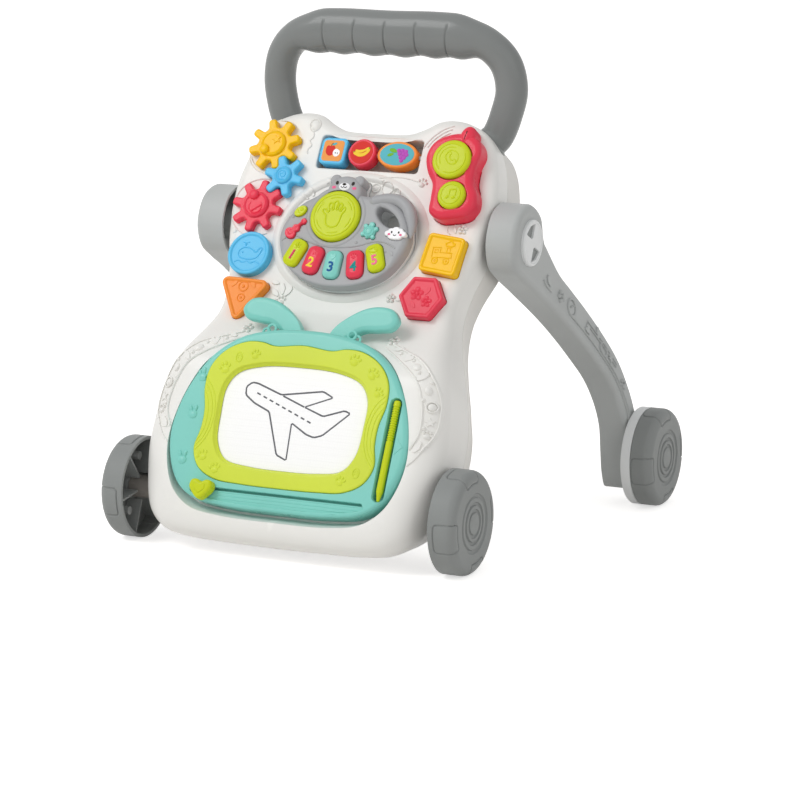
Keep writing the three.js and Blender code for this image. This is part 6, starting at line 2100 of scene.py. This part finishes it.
def build_surround(sky):
    """White all round for the rays that show it, and a softer even light for the rest."""
    world = bpy.data.worlds.new("surround")
    bpy.context.scene.world = world
    world.use_nodes = True
    tree = world.node_tree
    ground = tree.nodes["Background"]
    ground.inputs["Color"].default_value = (1, 1, 1, 1)
    strength = add_node(tree, "Mix", {"A": sky, "B": 1.0})
    tree.links.new(background_rays(tree), strength.inputs["Factor"])
    wire(tree, (strength, "Result"), ("Strength", ground))


def build_floor():
    """Pale floor, lifted towards white for the rays that show it."""
    bm = bmesh.new()
    bmesh.ops.create_grid(bm, x_segments=1, y_segments=1, size=6)
    floor = in_scene("floor", baked(bm, "floor"))
    material, tree, shader = new_material("pale_floor")
    shader.inputs["Base Color"].default_value = (0.9, 0.88, 0.86, 1)
    shader.inputs["Roughness"].default_value = 0.9
    shader.inputs["Emission Color"].default_value = (1, 1, 1, 1)
    lift = add_node(tree, "Math", operation="MULTIPLY")
    lift.inputs[1].default_value = 0.62
    tree.links.new(background_rays(tree), lift.inputs[0])
    wire(tree, (lift, "Value"), ("Emission Strength", shader))
    floor.data.materials.append(material)
    return floor


def build_lamp(name, power, size, place):
    """Square lamp that shines on the middle of the walker."""
    light = bpy.data.lights.new(name, "AREA")
    light.energy = power
    light.size = size
    lamp = in_scene(name, light)
    lamp.location = place
    lamp.rotation_euler = (Vector((0, 0, 0.2)) - Vector(place)).to_track_quat("-Z", "Y").to_euler()


def build_camera(lens):
    """Camera at the front right, a little above, with its frame shifted onto the walker."""
    camera = bpy.data.cameras.new("front_right")
    camera.lens = lens
    camera.sensor_width = 36
    camera.shift_x = 0.0654
    camera.shift_y = -0.1205
    eye = in_scene("front_right", camera)
    eye.location = (1.2491, -2.5499, 0.6706)
    eye.rotation_euler = Vector((-0.4413, 0.8818, -0.1662)).to_track_quat("-Z", "Y").to_euler()
    bpy.context.scene.camera = eye


def build_stage():
    """Surround, floor, lamps and camera."""
    stage = bpy.context.scene.walker_stage
    build_surround(stage.sky)
    floor = build_floor()
    build_lamp("key_lamp", stage.key_power, 1.6, (-1.6, -2.0, 2.6))
    build_lamp("fill_lamp", stage.fill_power, 2.2, (2.8, -1.2, 1.4))
    build_camera(stage.lens)
    bpy.context.scene.view_settings.view_transform = "Standard"


# ------------ operators


class WALKER_OT_shells(bpy.types.Operator):
    """Make the two shells of the body with their raised patterns"""

    bl_idname = "walker.shells"
    bl_label = "Shells"
    bl_options = {"REGISTER", "UNDO"}

    def execute(self, context):
        build_shells()
        return {"FINISHED"}


class WALKER_OT_handle(bpy.types.Operator):
    """Make the carrying handle with its finger grip"""

    bl_idname = "walker.handle"
    bl_label = "Handle"
    bl_options = {"REGISTER", "UNDO"}

    def execute(self, context):
        build_handle()
        return {"FINISHED"}


class WALKER_OT_legs(bpy.types.Operator):
    """Make both legs with their hub caps"""

    bl_idname = "walker.legs"
    bl_label = "Legs"
    bl_options = {"REGISTER", "UNDO"}

    def execute(self, context):
        build_legs()
        return {"FINISHED"}


class WALKER_OT_wheels(bpy.types.Operator):
    """Make the four wheels and the rear trims"""

    bl_idname = "walker.wheels"
    bl_label = "Wheels"
    bl_options = {"REGISTER", "UNDO"}

    def execute(self, context):
        build_wheels()
        return {"FINISHED"}


class WALKER_OT_gears(bpy.types.Operator):
    """Make the three play gears"""

    bl_idname = "walker.gears"
    bl_label = "Gears"
    bl_options = {"REGISTER", "UNDO"}

    def execute(self, context):
        build_gears()
        return {"FINISHED"}


class WALKER_OT_picture_blocks(bpy.types.Operator):
    """Make the turning picture blocks"""

    bl_idname = "walker.picture_blocks"
    bl_label = "Picture blocks"
    bl_options = {"REGISTER", "UNDO"}

    def execute(self, context):
        build_picture_blocks()
        return {"FINISHED"}


class WALKER_OT_telephone(bpy.types.Operator):
    """Make the toy telephone"""

    bl_idname = "walker.telephone"
    bl_label = "Telephone"
    bl_options = {"REGISTER", "UNDO"}

    def execute(self, context):
        build_telephone()
        return {"FINISHED"}


class WALKER_OT_piano(bpy.types.Operator):
    """Make the toy piano with its keys and buttons"""

    bl_idname = "walker.piano"
    bl_label = "Piano"
    bl_options = {"REGISTER", "UNDO"}

    def execute(self, context):
        build_piano()
        return {"FINISHED"}


class WALKER_OT_shape_blocks(bpy.types.Operator):
    """Make the four lift-out shapes"""

    bl_idname = "walker.shape_blocks"
    bl_label = "Shape blocks"
    bl_options = {"REGISTER", "UNDO"}

    def execute(self, context):
        build_shape_blocks()
        return {"FINISHED"}


class WALKER_OT_board(bpy.types.Operator):
    """Make the drawing board with its pen and wiper"""

    bl_idname = "walker.board"
    bl_label = "Board"
    bl_options = {"REGISTER", "UNDO"}

    def execute(self, context):
        build_board()
        return {"FINISHED"}


class WALKER_OT_tank(bpy.types.Operator):
    """Make the ballast tank and its cap"""

    bl_idname = "walker.tank"
    bl_label = "Tank"
    bl_options = {"REGISTER", "UNDO"}

    def execute(self, context):
        build_tank()
        return {"FINISHED"}


class WALKER_OT_axles(bpy.types.Operator):
    """Finish the front axle and its tube"""

    bl_idname = "walker.axles"
    bl_label = "Axles"
    bl_options = {"REGISTER", "UNDO"}

    def execute(self, context):
        build_axles()
        return {"FINISHED"}


class WALKER_OT_stage(bpy.types.Operator):
    """Make the floor, the lamps and the camera"""

    bl_idname = "walker.stage"
    bl_label = "Stage"
    bl_options = {"REGISTER", "UNDO"}

    def execute(self, context):
        build_stage()
        return {"FINISHED"}


OPERATORS = (
    WALKER_OT_shells,
    WALKER_OT_handle,
    WALKER_OT_legs,
    WALKER_OT_wheels,
    WALKER_OT_gears,
    WALKER_OT_picture_blocks,
    WALKER_OT_telephone,
    WALKER_OT_piano,
    WALKER_OT_shape_blocks,
    WALKER_OT_board,
    WALKER_OT_tank,
    WALKER_OT_axles,
    WALKER_OT_stage,
)
SETTINGS = (
    (WalkerColours, "walker_colours"),
    (WalkerFinish, "walker_finish"),
    (WalkerStage, "walker_stage"),
)


class WALKER_PT_panel(bpy.types.Panel):
    """Settings and pieces of the walker in the sidebar"""

    bl_idname = "WALKER_PT_panel"
    bl_label = "Baby Walker"
    bl_space_type = "VIEW_3D"
    bl_region_type = "UI"
    bl_category = "Walker"

    def draw(self, context):
        for group, name in SETTINGS:
            box = self.layout.box()
            for prop in group.__annotations__:
                box.prop(getattr(context.scene, name), prop)
        for piece in OPERATORS:
            self.layout.operator(piece.bl_idname)


def register():
    for group, name in SETTINGS:
        bpy.utils.register_class(group)
        setattr(bpy.types.Scene, name, PointerProperty(type=group))
    for piece in OPERATORS:
        bpy.utils.register_class(piece)
    bpy.utils.register_class(WALKER_PT_panel)


def unregister():
    bpy.utils.unregister_class(WALKER_PT_panel)
    for piece in reversed(OPERATORS):
        bpy.utils.unregister_class(piece)
    for group, name in reversed(SETTINGS):
        delattr(bpy.types.Scene, name)
        bpy.utils.unregister_class(group)


def main():
    """Registers the add-on and makes every piece in order."""
    register()
    for piece in OPERATORS:
        name = piece.bl_idname.split(".")[1]
        getattr(bpy.ops.walker, name)()


if __name__ == "__main__":
    main()
